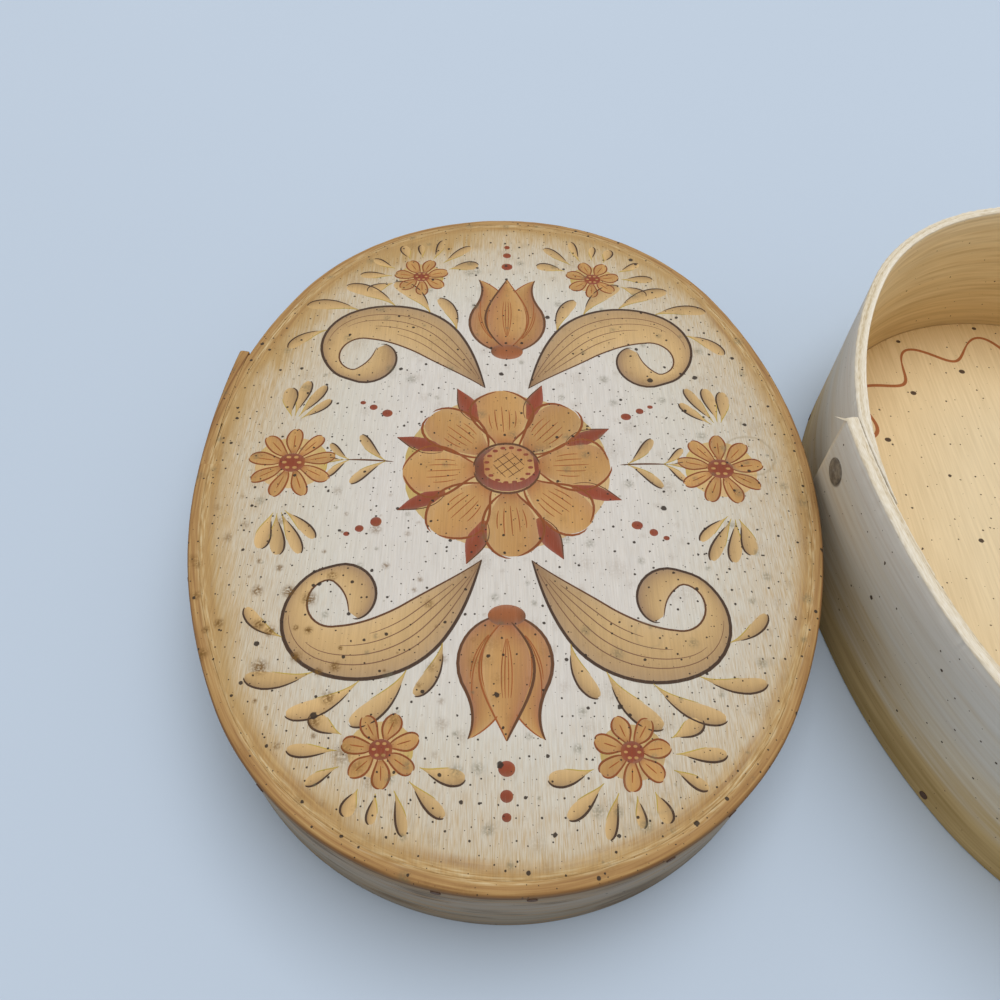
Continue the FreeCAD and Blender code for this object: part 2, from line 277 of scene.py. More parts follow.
# %% Stations along a band
STEP = 1.0


def walk(tub, with_lap):
    """Stations about a millimetre apart: middle, direction, radius and thickness of each, and
    how far along it lies. Without the lap it is one closed round of the oval."""
    arcs = tub.arcs()
    if with_lap:
        middle, radius, _, stop = arcs[0]
        arcs[0] = (middle, radius, math.pi - tub.lap_start, stop)
        middle, radius, start, _ = arcs[-1]
        arcs[-1] = (middle, radius, start, 3 * math.pi - tub.lap_start - tub.lap_turn)
        arcs.insert(0, (tub.lap_middle, tub.lap_radius + BAND, math.pi - tub.lap_end,
                        math.pi - tub.lap_start))
        arcs.append(((tub.side_middle, 0), tub.side_radius,
                     3 * math.pi - tub.lap_start - tub.lap_turn,
                     3 * math.pi - tub.lap_start - tub.tip_turn))
    rows, along = [], 0.0
    for index, (middle, radius, start, stop) in enumerate(arcs):
        count = max(2, round(abs(stop - start) * radius / STEP))
        last = index == len(arcs) - 1
        angles = np.linspace(start, stop, count + 1)[:None if last and with_lap else -1]
        for angle in angles:
            thick, outer = BAND, radius
            if with_lap and index == 0:
                thick += LAP_FILL * tub.lap_gap
            if with_lap and last:
                turn_left = 3 * math.pi - angle - tub.lap_start
                outer = math.sqrt(tub.skive_radius ** 2 - (tub.shift * math.sin(turn_left)) ** 2
                                  ) - tub.shift * math.cos(turn_left)
                thick = outer - (radius - BAND)
            rows.append((*middle, math.cos(angle), math.sin(angle), outer, thick,
                         along + radius * (angle - start)))
        along += radius * (stop - start)
    return np.array(rows)


def place(tub, rows, depth, height):
    """Points at these depths below the outer face and these heights, in metres."""
    reach = rows[:, 4:5] - depth
    x = tub.middle.x + rows[:, 0:1] + reach * rows[:, 2:3]
    y = tub.middle.y + rows[:, 1:2] + reach * rows[:, 3:4]
    return np.stack([x, y, np.broadcast_to(height, x.shape)], axis=-1) * MM


for tub in (lid, base):
    stations = walk(tub, with_lap=True)
    print(f"{tub.body} band: {stations[-1, 6]:.0f} mm of wood in {len(stations)} stations")

# %% [markdown]
# Hand-planed wood is never quite even. Its faces wave by a tenth of a millimetre or two, and its
# edges are worn more here than there. The waves are drawn from smooth noise that depends only on
# the place, so that they are the same each time, and they only ever take wood away. So the mesh
# stays inside the solid, but for the old paint that nearly fills the gap between the lap's layers.
#
# Two helpers for every mesh follow: one joins rows of points with faces, and one makes the piece,
# has it ride on its tub, and keeps with its points what its finish has to know of them.

# %% Waves in the wood
CREASE = 40
# How far each seed moves the noise along, so that no two patterns of waves are alike.
SEED_STEP = (17.3, 5.1, 9.7)


def waves(points, size, seed):
    """Smooth noise from 0 to 1 at each of the points, with waves of about this many mm."""
    shape = points.shape[:-1]
    flat = points.reshape(-1, 3) / (size * MM)
    offset = Vector([seed * step for step in SEED_STEP])
    drawn = [noise.noise(Vector(point) + offset) for point in flat]
    return (np.array(drawn).reshape(shape) * 0.5 + 0.5).clip(0, 1)


def net(rows, row, close_rows=False, close_row=False, start=0):
    """Four-cornered faces between rows of points. The last row may join the first, and so may
    the ends of each row."""
    faces = []
    for r in range(rows - (not close_rows)):
        near, far = start + r * row, start + (r + 1) % rows * row
        for k in range(row - (not close_row)):
            beside = (k + 1) % row
            faces.append((near + k, far + k, far + beside, near + beside))
    return faces


def new_piece(name, points, faces, material, body, fields):
    """A mesh that rides with a body. Its fields are places in mm or colours, for its finish."""
    mesh = bpy.data.meshes.new(name)
    mesh.from_pydata(points.tolist(), [], faces)
    for field, values in fields.items():
        kind = "FLOAT_VECTOR" if values.shape[-1] == 3 else "FLOAT_COLOR"
        layer = mesh.attributes.new(field, kind, "POINT")
        layer.data.foreach_set("vector" if kind == "FLOAT_VECTOR" else "color",
                               values.astype(np.float32).ravel())
    mesh.materials.append(material)
    mesh.shade_smooth()
    mesh.set_sharp_from_angle(angle=math.radians(CREASE))
    piece = bpy.data.objects.new(name, mesh)
    scene.collection.objects.link(piece)
    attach(piece, body)
    return piece


# %% [markdown]
# The band's cross-section is a tall strip with its corners eased. The lid's upper outer edge is
# sanded to a generous round, because hands hold it there, and the base's rim is left nearly
# square. Each corner is a small quarter arc, and between the corners the faces get a few rows so
# that they can carry the waves.

# %% The bent bands
CORNER_POINTS = 5
FACE_ROWS = 12
RIM_ROWS = 5
# No corner takes more than this share of the band's thickness.
MOST_ROUND = 0.4
# Where the band is this much thinner, it lies under the lap and its upper corner is left sharp.
COVERED = 0.3
FACE_WAVE, RIM_WAVE, NAP_SIZE = 28, 5, 0.9


def corner(depth, height, radius, start):
    """A quarter round about this middle, from this many degrees, as depths and heights."""
    angles = np.radians(np.linspace(start, start + 90, CORNER_POINTS))
    return [(depth - radius * np.cos(angle), height + radius * np.sin(angle)) for angle in angles]


def cross_section(thick, low, high, rounds):
    """A closed loop of depths and heights, clockwise from the foot of the outer face."""
    top_out, top_in, foot_in, foot_out = (
        np.minimum(size, thick * MOST_ROUND) for size in rounds)
    corners = [corner(foot_out, low + foot_out, foot_out, -90),
               corner(top_out, high - top_out, top_out, 0),
               corner(thick - top_in, high - top_in, top_in, 90),
               corner(thick - foot_in, low + foot_in, foot_in, 180)]
    loop = []
    for index, count in enumerate((FACE_ROWS, RIM_ROWS, FACE_ROWS, RIM_ROWS)):
        start, stop = corners[index][-1], corners[(index + 1) % 4][0]
        loop += corners[index]
        loop += [tuple(a + (b - a) * share for a, b in zip(start, stop))
                 for share in np.linspace(0, 1, count)[1:-1]]
    return loop


def bend_band(tub, name, rounds, wear, material):
    """Lofts a tub's band along its stations, with waves in its outer face and on its rim."""
    rows = walk(tub, with_lap=True)
    thick = rows[:, 5:6]
    covered = ((BAND - thick) / COVERED).clip(0, 1)
    upper = rounds[0] + (rounds[1] - rounds[0]) * covered
    loop = cross_section(thick, tub.low, tub.high, (upper, *rounds[1:]))
    depth = np.concatenate([np.broadcast_to(d, thick.shape) for d, _ in loop], axis=1)
    height = np.concatenate([np.broadcast_to(h, thick.shape) for _, h in loop], axis=1)
    even = place(tub, rows, depth, height)
    outward = (1 - depth / thick).clip(0, 1)
    upward = ((height - tub.high + wear["reach"]) / wear["reach"]).clip(0, 1)
    nap = wear["fuzz"] * waves(even, NAP_SIZE, seed=3)
    worn_depth = depth + outward * (wear["face"] * waves(even, FACE_WAVE, seed=1) + upward * nap)
    worn_height = height - upward * (wear["rim"] * waves(even, RIM_WAVE, seed=2) + nap)
    points = place(tub, rows, worn_depth, worn_height)
    count, ring = depth.shape
    faces = net(count, ring, close_row=True)
    faces += [list(range(ring)), list(range((count - 1) * ring, count * ring))[::-1]]
    along = np.broadcast_to(rows[:, 6:7], depth.shape)
    grain = np.stack([along, depth, height], axis=-1)
    band = new_piece(name, points.reshape(-1, 3), faces, material, tub.body,
                     {"grain": grain.reshape(-1, 3)})
    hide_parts(f"{tub.body}_band")


# %% [markdown]
# The two boards are sawn from plank, dropped into their bands and pegged. What shows of the lid's
# board is its painted face and the seam round it, where the bevel on its edge and the old paint
# make a shallow, uneven groove. So the board is rings of points that lie close together at the
# seam, where the relief is, and far apart on the flat face.

# %% The sawn boards
SEAM_RINGS = (0.0, 0.25, 0.5, 0.8, 1.2, 1.7, 2.4, 3.4, 5.0, 8.0)
FACE_RINGS = (14.0, 26.0, 45.0, 72.0)
EDGE_ROWS = 4
BEVEL_WAVE, RIDGE_WAVE = 9, 3
NEAR = 1e-6
FACING_DOWN = -0.5


def saw_board(tub, name, seam, material, underside):
    """A board as closed rings, from the middle of its underside round to the middle of its top."""
    rows = walk(tub, with_lap=False)
    edge, low, high = BAND + seam["gap"], tub.board_low, tub.board_high
    rise = [low + (high - low - seam["bevel"]) * share for share in np.linspace(0, 1, EDGE_ROWS)]
    loop = [(edge + inset, low) for inset in reversed(FACE_RINGS)]
    loop += [(edge, height) for height in rise]
    loop += [(edge + inset, high) for inset in (*SEAM_RINGS[1:], *FACE_RINGS)]
    depth = np.broadcast_to([d for d, _ in loop], (len(rows), len(loop)))
    height = np.broadcast_to([h for _, h in loop], depth.shape)
    even = place(tub, rows, depth, height)
    bevel = seam["bevel"] * (0.6 + 0.8 * waves(even, BEVEL_WAVE, seed=4))
    slope = (1 - (depth - edge) / bevel).clip(0, 1) * seam["bevel"]
    fade = (1 - (depth - edge) / seam["reach"]).clip(0, 1)
    ridges = seam["ridge"] * waves(even, RIDGE_WAVE, seed=5) * fade
    top = height > high - NEAR
    points = place(tub, rows, depth, height - top * (slope + ridges))
    count, ring = depth.shape
    faces = net(count, ring, close_rows=True)
    under, over = count * ring, count * ring + 1
    faces += [(under, (r + 1) % count * ring, r * ring) for r in range(count)]
    faces += [(over, r * ring + ring - 1, (r + 1) % count * ring + ring - 1)
              for r in range(count)]
    poles = [[tub.middle.x, tub.middle.y, low], [tub.middle.x, tub.middle.y, high]]
    corners = np.concatenate([points.reshape(-1, 3), np.array(poles) * MM])
    bare_ground = np.zeros((len(corners), 4))
    board = new_piece(name, corners, faces, material, tub.body, {"stroke": bare_ground})
    board.data.materials.append(underside)
    for face in board.data.polygons:
        face.material_index = int(face.normal.z < FACING_DOWN)
    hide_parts(tub.board)


# %% [markdown]
# Four small patterns make up the age of this paint, and all of them are used more than once.
# The brush leaves fine hairs in the paint, a loaded brush was flicked to spatter it with dark
# drops, damp has left soft grey-brown bloom, and wet glasses have left rings. Each is a function
# that adds its nodes to a material, with its scale given in millimetres. Drops and bloom are
# scattered alike: the ground is divided into cells, and each cell has one of them and its luck.
# Two more helpers let a brush's streaks shade a colour and push a value about.

# %% Patterns of brush and age
# How ragged a drop's edge is, as a share of the drop, and how much of the paint it hides.
RAGGED, DROP_COVER = 0.55, 0.95
RING_STAIN = "#8C7D62"


def hairs(add, spot, sizes, detail=3.0):
    """Brush hairs or grain: noise drawn out so that a hair has these sizes in mm."""
    drawn = add("VectorMath.MULTIPLY", spot, tuple(1 / size for size in sizes))[0]
    return add("TexNoise", drawn, Scale=1.0, Detail=detail)["Fac"]


def scatter(add, spot, cell):
    """One point to a cell of this many mm: how far off the nearest one is, and its luck."""
    scaled = add("VectorMath.SCALE", spot, 1 / cell)[0]
    found = add("TexVoronoi", scaled, Scale=1.0, voronoi_dimensions="2D")
    return found["Distance"], add("SeparateColor", found["Color"])


def spatter(add, spot, colour, drop, sorts):
    """Drops flicked over the colour. Each sort of drop has the size of its cells and of its
    largest drop in mm, and the share of the cells that have one."""
    for cell, size, share in sorts:
        wobble = add("TexNoise", spot, Scale=1.1, Detail=1.0)["Color"]
        push = size * RAGGED
        pushed = add("VectorMath.MULTIPLY_ADD", wobble, (push, push, 0), spot)[0]
        distance, luck = scatter(add, pushed, cell)
        chosen = add("Math.LESS_THAN", luck["Green"], share)[0]
        spread = add("Math.POWER", luck["Red"], 3.0)[0]
        radius = add("MapRange", spread, 0, 1, 0.25 * size / cell, size / cell)[0]
        gap = add("Math.DIVIDE", distance, radius)[0]
        inside = add("MapRange", gap, 1.0, 0.7, interpolation_type="SMOOTHSTEP")[0]
        cover = add("Math.MULTIPLY", inside, chosen)[0]
        thin = add("Math.MULTIPLY", cover, DROP_COVER)[0]
        colour = add("Mix.RGBA", thin, colour, swatch(drop))[0]
    return colour


def bloom(add, spot, colour, cell, size, strength, stain):
    """Soft spots left by damp, each broken up into fine specks. Strength may be linked."""
    distance, luck = scatter(add, spot, cell)
    radius = add("MapRange", luck["Blue"], 0.25, 1, 0.001, size / cell)[0]
    gap = add("Math.DIVIDE", distance, radius)[0]
    soft = add("MapRange", gap, 1.0, 0.0, interpolation_type="SMOOTHERSTEP")[0]
    specks = add("TexNoise", spot, Scale=1.3, Detail=4.0)["Fac"]
    broken = add("MapRange", specks, 0.33, 0.55)[0]
    cover = add("Math.MULTIPLY", soft, broken)[0]
    cover = add("Math.MULTIPLY", cover, strength)[0]
    return add("Mix.RGBA", cover, colour, swatch(stain))[0]


def reach_from(add, spot, x, y):
    """How far from this place a spot lies, seen from above, in mm."""
    offset = add("VectorMath.SUBTRACT", spot, (x, y, 0))[0]
    flat = add("VectorMath.MULTIPLY", offset, (1, 1, 0))[0]
    return add("VectorMath.LENGTH", flat)["Value"]


def glass_ring(add, spot, colour, x, y, radius, strength):
    """The dried edge of a wet ring, at this place and of this size in mm."""
    wobble = add("TexNoise", spot, Scale=0.35, Detail=2.0)["Color"]
    pushed = add("VectorMath.MULTIPLY_ADD", wobble, (1.6, 1.6, 0), spot)[0]
    # The wobble pushes each spot by half of its size on average, so the middle goes along.
    off = add("Math.SUBTRACT", reach_from(add, pushed, x + 0.8, y + 0.8), radius)[0]
    away = add("Math.ABSOLUTE", off)[0]
    line = add("MapRange", away, 0.75, 0.1, 0, strength)[0]
    return add("Mix.RGBA", line, colour, swatch(RING_STAIN))[0]


def brushed(add, colour, streak, dark, light):
    """The colour, darker and lighter in the streaks that a brush leaves."""
    shade = add("MapRange", streak, 0.3, 0.7, dark, light)[0]
    return add("VectorMath.SCALE", colour, shade)[0]


def swayed(add, value, noise_out, low, high):
    """A value with a noise added to it that runs between these two amounts."""
    swing = add("MapRange", noise_out, 0, 1, low, high)[0]
    return add("Math.ADD", value, swing)[0]


# %% [markdown]
# The glaze on the lid was rubbed on dark at the rim and wiped off towards the middle, so its
# colour depends on one thing: how far in from the edge a spot lies. The outline is made of arcs,
# which makes that distance exact: it is the arc's radius less the distance to the arc's middle,
# with the end's arc in the end's sector and the side's arc elsewhere.

# %% Distance from the edge
def spot_in_mm(add, tub=None):
    """The place in mm, from the tub's middle if one is given. It stays with a piece that moves."""
    here = add("TexCoord")["Object"]
    if tub:
        middle = (tub.middle.x * MM, tub.middle.y * MM, 0)
        here = add("VectorMath.SUBTRACT", here, middle)[0]
    return add("VectorMath.SCALE", here, 1 / MM)[0]


def edge_distance(add, spot, tub):
    """How far in from the tub's outline a spot lies, in mm."""
    level = add("VectorMath.MULTIPLY", spot, (1, 1, 0))[0]
    quarter = add("VectorMath.ABSOLUTE", level)[0]
    from_end = add("VectorMath.SUBTRACT", quarter, (0, tub.end_middle, 0))[0]
    from_side = add("VectorMath.ADD", quarter, (tub.side_middle, 0, 0))[0]
    border = (-math.sin(tub.span), math.cos(tub.span), 0)
    turned = add("VectorMath.DOT_PRODUCT", from_end, border)["Value"]
    in_end = add("Math.GREATER_THAN", turned, 0.0)[0]
    end_reach = add("VectorMath.LENGTH", from_end)["Value"]
    side_reach = add("VectorMath.LENGTH", from_side)["Value"]
    end_inset = add("Math.SUBTRACT", tub.end_radius, end_reach)[0]
    side_inset = add("Math.SUBTRACT", tub.side_radius, side_reach)[0]
    return add("Mix", in_end, side_inset, end_inset)[0]


# %% [markdown]
# Every finish of the box ends alike. Its pattern also raises the surface a little, mostly by a
# tenth of a millimetre or less, which the light picks out where it falls at a slant. One shader
# takes the colour, the roughness and that relief.

# %% The end of a finish
def end_finish(add, colour, rough, height, depth, **settings):
    """Adds a relief this many mm deep, the shader and the material's output."""
    relief = add("Bump", Height=height, Distance=depth * MM)[0]
    shader = add("BsdfPrincipled", Base_Color=colour, Roughness=rough, Normal=relief,
                 **settings)["BSDF"]
    add("OutputMaterial", shader)


# %% [markdown]
# The lid's finish is thin casein paint: a flat, chalky cream brushed along the board, dark oil
# glaze wiped from the rim inwards, and the painting on top of that. Chalky paint scatters light,
# so it is rough and its highlights are broad and dull. All of it shares one material: where a
# stroke of the painting lies, the mesh carries its colour and how well it covers, and elsewhere
# these fall back to nothing and the ground shows.
#
# The glaze comes first. Its colours run from the edge inwards, and the brush then pushes them in
# and out along its streaks. The cool, pale grey of its middle is partly a painted reflection of
# daylight.

# %% The wiped glaze
# The glaze's colours from the rim inwards. The cool grey of the middle is partly painted
# reflection.
GLAZE_AND_MIDDLE_SHEEN = {
    0.0: "#9E7642", 0.045: "#A28252", 0.07: "#A98C5F", 0.1: "#AA8F63", 0.13: "#B39F7D",
    0.17: "#BAA98D", 0.22: "#BDB39F", 0.3: "#BEB5A4", 0.45: "#C1BBAE", 0.65: "#C3C0B7",
    1.0: "#C7C4C0",
}
RIM = {0.3: "#785332", 0.45: "#916D42", 0.6: "#A68455", 0.75: "#B49869"}
EDGE = {0.35: "#57351B", 0.65: "#7A522C"}
# Streaks on the seam's ridges: worn paint, and a pale painted highlight where the ridges stand up.
RIDGES_WEAR_AND_HIGHLIGHT = {0.34: "#906D3D", 0.47: "#AE8D5D", 0.55: "#BFA77C", 0.68: "#D3C5A3"}
RUN = {0.35: "#815728", 0.5: "#956C36", 0.65: "#B29059"}
TAN = "#A58655"
GLAZE_REACH = 62.0
# Painted light: the glaze is lighter towards the lower right, where its fade moves by this share
# of the way there.
GLAZE_LIGHT_LEAN = (0.05, -0.05, 0)
# Where the brushed rim, the dark line along the edge, the ridges along the seam with their wear
# and painted highlights, and the run of glaze inside them lie: white shows each of them, along the
# first centimetre from the edge.
RIM_ZONE = {0.0: "#FFFFFF", 0.3: "#FFFFFF", 0.42: "#000000"}
EDGE_ZONE = {0.045: "#FFFFFF", 0.09: "#000000"}
RIDGES_WEAR_AND_HIGHLIGHT_ZONE = {0.28: "#000000", 0.38: "#FFFFFF", 0.5: "#FFFFFF", 0.64: "#000000"}
RUN_ZONE = {0.52: "#000000", 0.62: "#FFFFFF", 0.72: "#FFFFFF", 0.95: "#000000"}
ZONE_DEPTH = 10.0


def glaze(add, spot, tub):
    """The ground colour of the lid: cream in the middle, brown at the rim, streaked along Y."""
    inset = edge_distance(add, spot, tub)
    # The lap's outer layer stands outside the oval, with an edge line of its own.
    lap_reach = reach_from(add, spot, *tub.lap_middle)
    lap_inset = add("Math.SUBTRACT", tub.lap_radius + BAND, lap_reach)[0]
    outside = add("Math.LESS_THAN", inset, 0.0)[0]
    own_edge = add("Mix", outside, inset, lap_inset)[0]
    fine, broad = hairs(add, spot, (0.8, 26, 1)), hairs(add, spot, (5, 70, 5))
    cloud = add("TexNoise", spot, Scale=0.028, Detail=2.0)["Fac"]
    parts = add("SeparateXYZ", spot)
    wiped = add("MapRange", inset, 4.0, 16.0)[0]
    # Painted light: the fade reaches further in towards the lower right.
    lean = add("VectorMath.DOT_PRODUCT", spot, GLAZE_LIGHT_LEAN)["Value"]
    drift = add("Math.MULTIPLY_ADD", lean, wiped, inset)[0]
    for noise_out, reach in ((fine, 14.0), (broad, 8.0), (cloud, 26.0)):
        swing = add("MapRange", noise_out, 0, 1, -reach / 2, reach / 2)[0]
        drift = add("Math.MULTIPLY_ADD", swing, wiped, drift)[0]
    place_in_ramp = add("Math.MULTIPLY", drift, 1 / GLAZE_REACH)[0]
    ground = add("ValToRGB", place_in_ramp, stops=GLAZE_AND_MIDDLE_SHEEN)["Color"]
    # The wipe leaves glaze between the hairs of the brush, less and less towards the middle.
    left = add("MapRange", hairs(add, spot, (0.32, 5, 1), 4.0), 0.42, 0.66)[0]
    share = add("MapRange", inset, 8.0, 46.0, 0.7, 0.12)[0]
    left = add("Math.MULTIPLY", left, share)[0]
    ground = add("Mix.RGBA", left, ground, swatch(TAN))[0]
    # Round the rim the brush followed the edge, so there the streaks do too.
    around = add("Math.ARCTAN2", parts["Y"], parts["X"])[0]
    along = add("Math.MULTIPLY", around, tub.half_length)[0]
    rim_spot = add("CombineXYZ", X=along, Y=inset)[0]
    wobble = hairs(add, rim_spot, (34, 12, 1), 2.0)
    ragged = add("MapRange", wobble, 0, 1, -2.2, 2.2)[0]
    ragged = add("Math.ADD", ragged, inset)[0]
    patches = hairs(add, rim_spot, (60, 60, 1), 1.0)
    patchy = add("MapRange", patches, 0.35, 0.6, 0, 0.5)[0]
    firm = add("MapRange", patches, 0.35, 0.6, 0.25, 0.65)[0]
    for ramp, zone, sizes, strength, depth in (
            (RIM, RIM_ZONE, (26, 0.75, 1), 0.75, inset),
            (EDGE, EDGE_ZONE, (30, 8, 1), 0.7, own_edge),
            (RIDGES_WEAR_AND_HIGHLIGHT, RIDGES_WEAR_AND_HIGHLIGHT_ZONE, (7, 0.5, 1), firm, ragged),
            (RUN, RUN_ZONE, (22, 1.1, 1), patchy, ragged)):
        near = add("Math.MULTIPLY", depth, 1 / ZONE_DEPTH)[0]
        where = add("ValToRGB", near, stops=zone)["Color"]
        swept = hairs(add, rim_spot, sizes, 4.0)
        colour = add("ValToRGB", swept, stops=ramp)["Color"]
        amount = add("Math.MULTIPLY", where, strength)[0]
        ground = add("Mix.RGBA", amount, ground, colour)[0]
    return ground


# %% [markdown]
# Over the glaze and the painting alike come the marks of use: damp in the lower left, a thin grey
# mildew, the rings of wet glasses, and fine dark drops in three sizes. Casein itself is matt, and
# a little rougher where the brush left more of it.

# %% Age, and the whole casein finish
# Where in the lower left the damp was, in mm from the lid's middle, and its brown.
DAMP_PLACE, BLOOM_BROWN = (-62, -62, 0), "#664819"
# Grey smudges of mildew lie thinly over the whole lid.
SMUDGE, SMUDGE_STRENGTH = "#5C5A46", 0.5
# The rings that wet glasses left: where, how large, and how strong.
RINGS = ((85, 7, 8.6, 0.42), (40, -108, 7.6, 0.22), (43, -63, 4.2, 0.2))
LID_DROP, LID_SPATTER = "#2A2018", ((3.2, 0.42, 0.66), (6.0, 0.72, 0.66), (18.0, 1.35, 0.6))
# A chalky face mirrors about half as much light as varnish does, whose level is 0.5.
CHALK_SHEEN = 0.25


def age(add, spot, colour):
    """Spatter, bloom and rings over the lid, painting and all."""
    from_damp = add("VectorMath.DISTANCE", spot, DAMP_PLACE)["Value"]
    damp = add("MapRange", from_damp, 80.0, 36.0, 0.16, 1.0, interpolation_type="SMOOTHSTEP")[0]
    for cell, size, strength, stain in ((17.0, 7.5, damp, BLOOM_BROWN),
                                        (9.0, 3.6, damp, BLOOM_BROWN),
                                        (13.0, 3.4, SMUDGE_STRENGTH, SMUDGE)):
        colour = bloom(add, spot, colour, cell, size, strength, stain)
    for x, y, radius, strength in RINGS:
        colour = glass_ring(add, spot, colour, x, y, radius, strength)
    return spatter(add, spot, colour, LID_DROP, LID_SPATTER)


def casein_paint(name, tub):
    """The lid's paint, for its board, its band's upper edge and the painting."""
    material, add = new_material(name)
    spot = spot_in_mm(add, tub)
    ground = glaze(add, spot, tub)
    stroke = add("Attribute", attribute_name="stroke")
    thin = hairs(add, spot, (0.6, 8, 1))
    worn = add("MapRange", thin, 0.25, 0.45, 0.95, 1.0)[0]
    cover = add("Math.MULTIPLY", stroke["Alpha"], worn)[0]
    painted = add("Mix.RGBA", cover, ground, stroke["Color"])[0]
    streak = hairs(add, spot, (0.55, 14, 1), 4.0)
    colour = age(add, spot, brushed(add, painted, streak, 0.9, 1.06))
    rough = add("MapRange", streak, 0, 1, 0.62, 0.8)[0]
    end_finish(add, colour, rough, streak, 0.06, Specular_IOR_Level=CHALK_SHEEN)
    return material


lid_paint = casein_paint("casein_paint", lid)
print("casein paint:", len(lid_paint.node_tree.nodes), "nodes")


# %% [markdown]
# The walls were painted too, with the brush drawn along the band. A wall's patterns follow its
# own wood: each point of the band knows how far along the band it is, how deep and how high, so
# the strokes bend with it. Round each rivet the paint is darker in a ring, a little aside and
# lower. Part of that is a stain from the rivet's iron, and part is painted shade for the gap under
# its head. Where paint is gone, pale birch shows, with fine fibres along the band.

# %% Paint, stains and bare wood on the bands
RIVET_SETBACK = 8.6
# The dark ring round a rivet, iron stain and painted shade, reaches from its head to this many mm
# from its middle, a little aside.
RIVET_HEAD, RIVET_RING_REACH, RIVET_RING_SLIP = 4.3, 5.2, 0.4
WALL_STROKE, DRY_MARK, WALL_DROP = "#A07C46", "#5A4A33", "#3B2C1F"
RIVET_RING, RIM_LINE = "#54493B", "#5E3A1C"
BIRCH = {0.0: "#B5A587", 0.3: "#CBC0AA", 0.6: "#D5CDBC", 1.0: "#E0DBD0"}
# Where across the lid's upper corner the dark line lies, from the wall to the top.
LINE_ZONE = {0.0: "#000000", 0.25: "#FFFFFF", 0.55: "#D0D0D0", 0.85: "#000000"}


def wall_paint(add, grain, plan):
    """Brushed paint on a wall, from its foot up: a ramp by height, pushed about by streaks."""
    streak = hairs(add, grain, (45, 3, 1.4), 4.0)
    patch = hairs(add, grain, (70, 9, 7))
    parts = add("SeparateXYZ", grain)
    share = add("Math.MULTIPLY", parts["Z"], 1 / plan["reach"])[0]
    for noise_out, reach in ((streak, 0.12), (patch, 0.3)):
        share = swayed(add, share, noise_out, -reach, reach)
    colour = add("ValToRGB", share, stops=plan["ramp"])["Color"]
    long = hairs(add, grain, (40, 4, 1.8))
    stroke = add("MapRange", long, 0.5, 0.64, 0, plan["strokes"])[0]
    colour = add("Mix.RGBA", stroke, colour, swatch(WALL_STROKE))[0]
    # A nearly dry brush left short dark marks, in groups.
    dry, group = hairs(add, grain, (13, 4, 0.6), 5.0), hairs(add, grain, (34, 20, 9), 1.0)
    marks = add("Math.ADD", dry, group)[0]
    marks = add("MapRange", marks, 1.05, 1.2, 0, plan["marks"])[0]
    colour = add("Mix.RGBA", marks, colour, swatch(DRY_MARK))[0]
    colour = brushed(add, colour, streak, 1 - plan["streaks"], 1 + 0.6 * plan["streaks"])
    flat = add("CombineXYZ", X=parts["X"], Y=parts["Z"])[0]
    sorts = ((6.0, 0.45, plan["specks"]), (17.0, 0.9, plan["drops"]))
    return spatter(add, flat, colour, WALL_DROP, sorts), streak


def rivet_stain_and_shade(add, grain, colour, lowest, step, count):
    """A dark ring round each rivet of the lap's column: iron stain and painted shade."""
    parts = add("SeparateXYZ", grain)
    up = add("Math.SUBTRACT", parts["Z"], lowest)[0]
    nearest = add("Math.DIVIDE", up, step)[0]
    nearest = add("Math.ROUND", nearest)[0]
    nearest = add("Clamp", nearest, Max=count - 1.0)[0]
    level = add("Math.MULTIPLY", nearest, step)[0]
    off = add("Math.SUBTRACT", up, level)[0]
    off = add("Math.ADD", off, RIVET_RING_SLIP)[0]
    away = add("Math.SUBTRACT", parts["X"], RIVET_SETBACK + RIVET_RING_SLIP)[0]
    reach = add("VectorMath.LENGTH", add("CombineXYZ", X=away, Y=off)[0])["Value"]
    # Painted shade and iron stain together darken the wall in a ring round each rivet.
    ring = add("MapRange", reach, RIVET_RING_REACH, RIVET_HEAD, 0, 0.75,
               interpolation_type="SMOOTHSTEP")[0]
    return add("Mix.RGBA", ring, colour, swatch(RIVET_RING))[0]


def bare_birch(add, grain):
    """Unpainted birch where the paint has worn away: pale, with fibres along the band."""
    fibres = hairs(add, grain, (2.6, 0.4, 0.4), 6.0)
    rings = hairs(add, grain, (90, 1.1, 6))
    mixed = add("Math.ADD", fibres, rings)[0]
    share = add("MapRange", mixed, 0.7, 1.3)[0]
    return add("ValToRGB", share, stops=BIRCH)["Color"], fibres


# %% [markdown]
# On the lid the wall is a cool grey cream, darkened by painted shade that is deepest at its foot,
# with ochre strokes and dry, dark marks of the brush, and the glaze has run to a dark line at its
# upper edge. The base is plainer: grey cream above, ochre and darker towards the foot, and its
# rim, where the lid rubs, is bare and a little woolly. So both bands share one finish, with a plan
# for each wall: its colours from the foot up, and how much there is of strokes, marks, streaks,
# fine specks and larger drops.

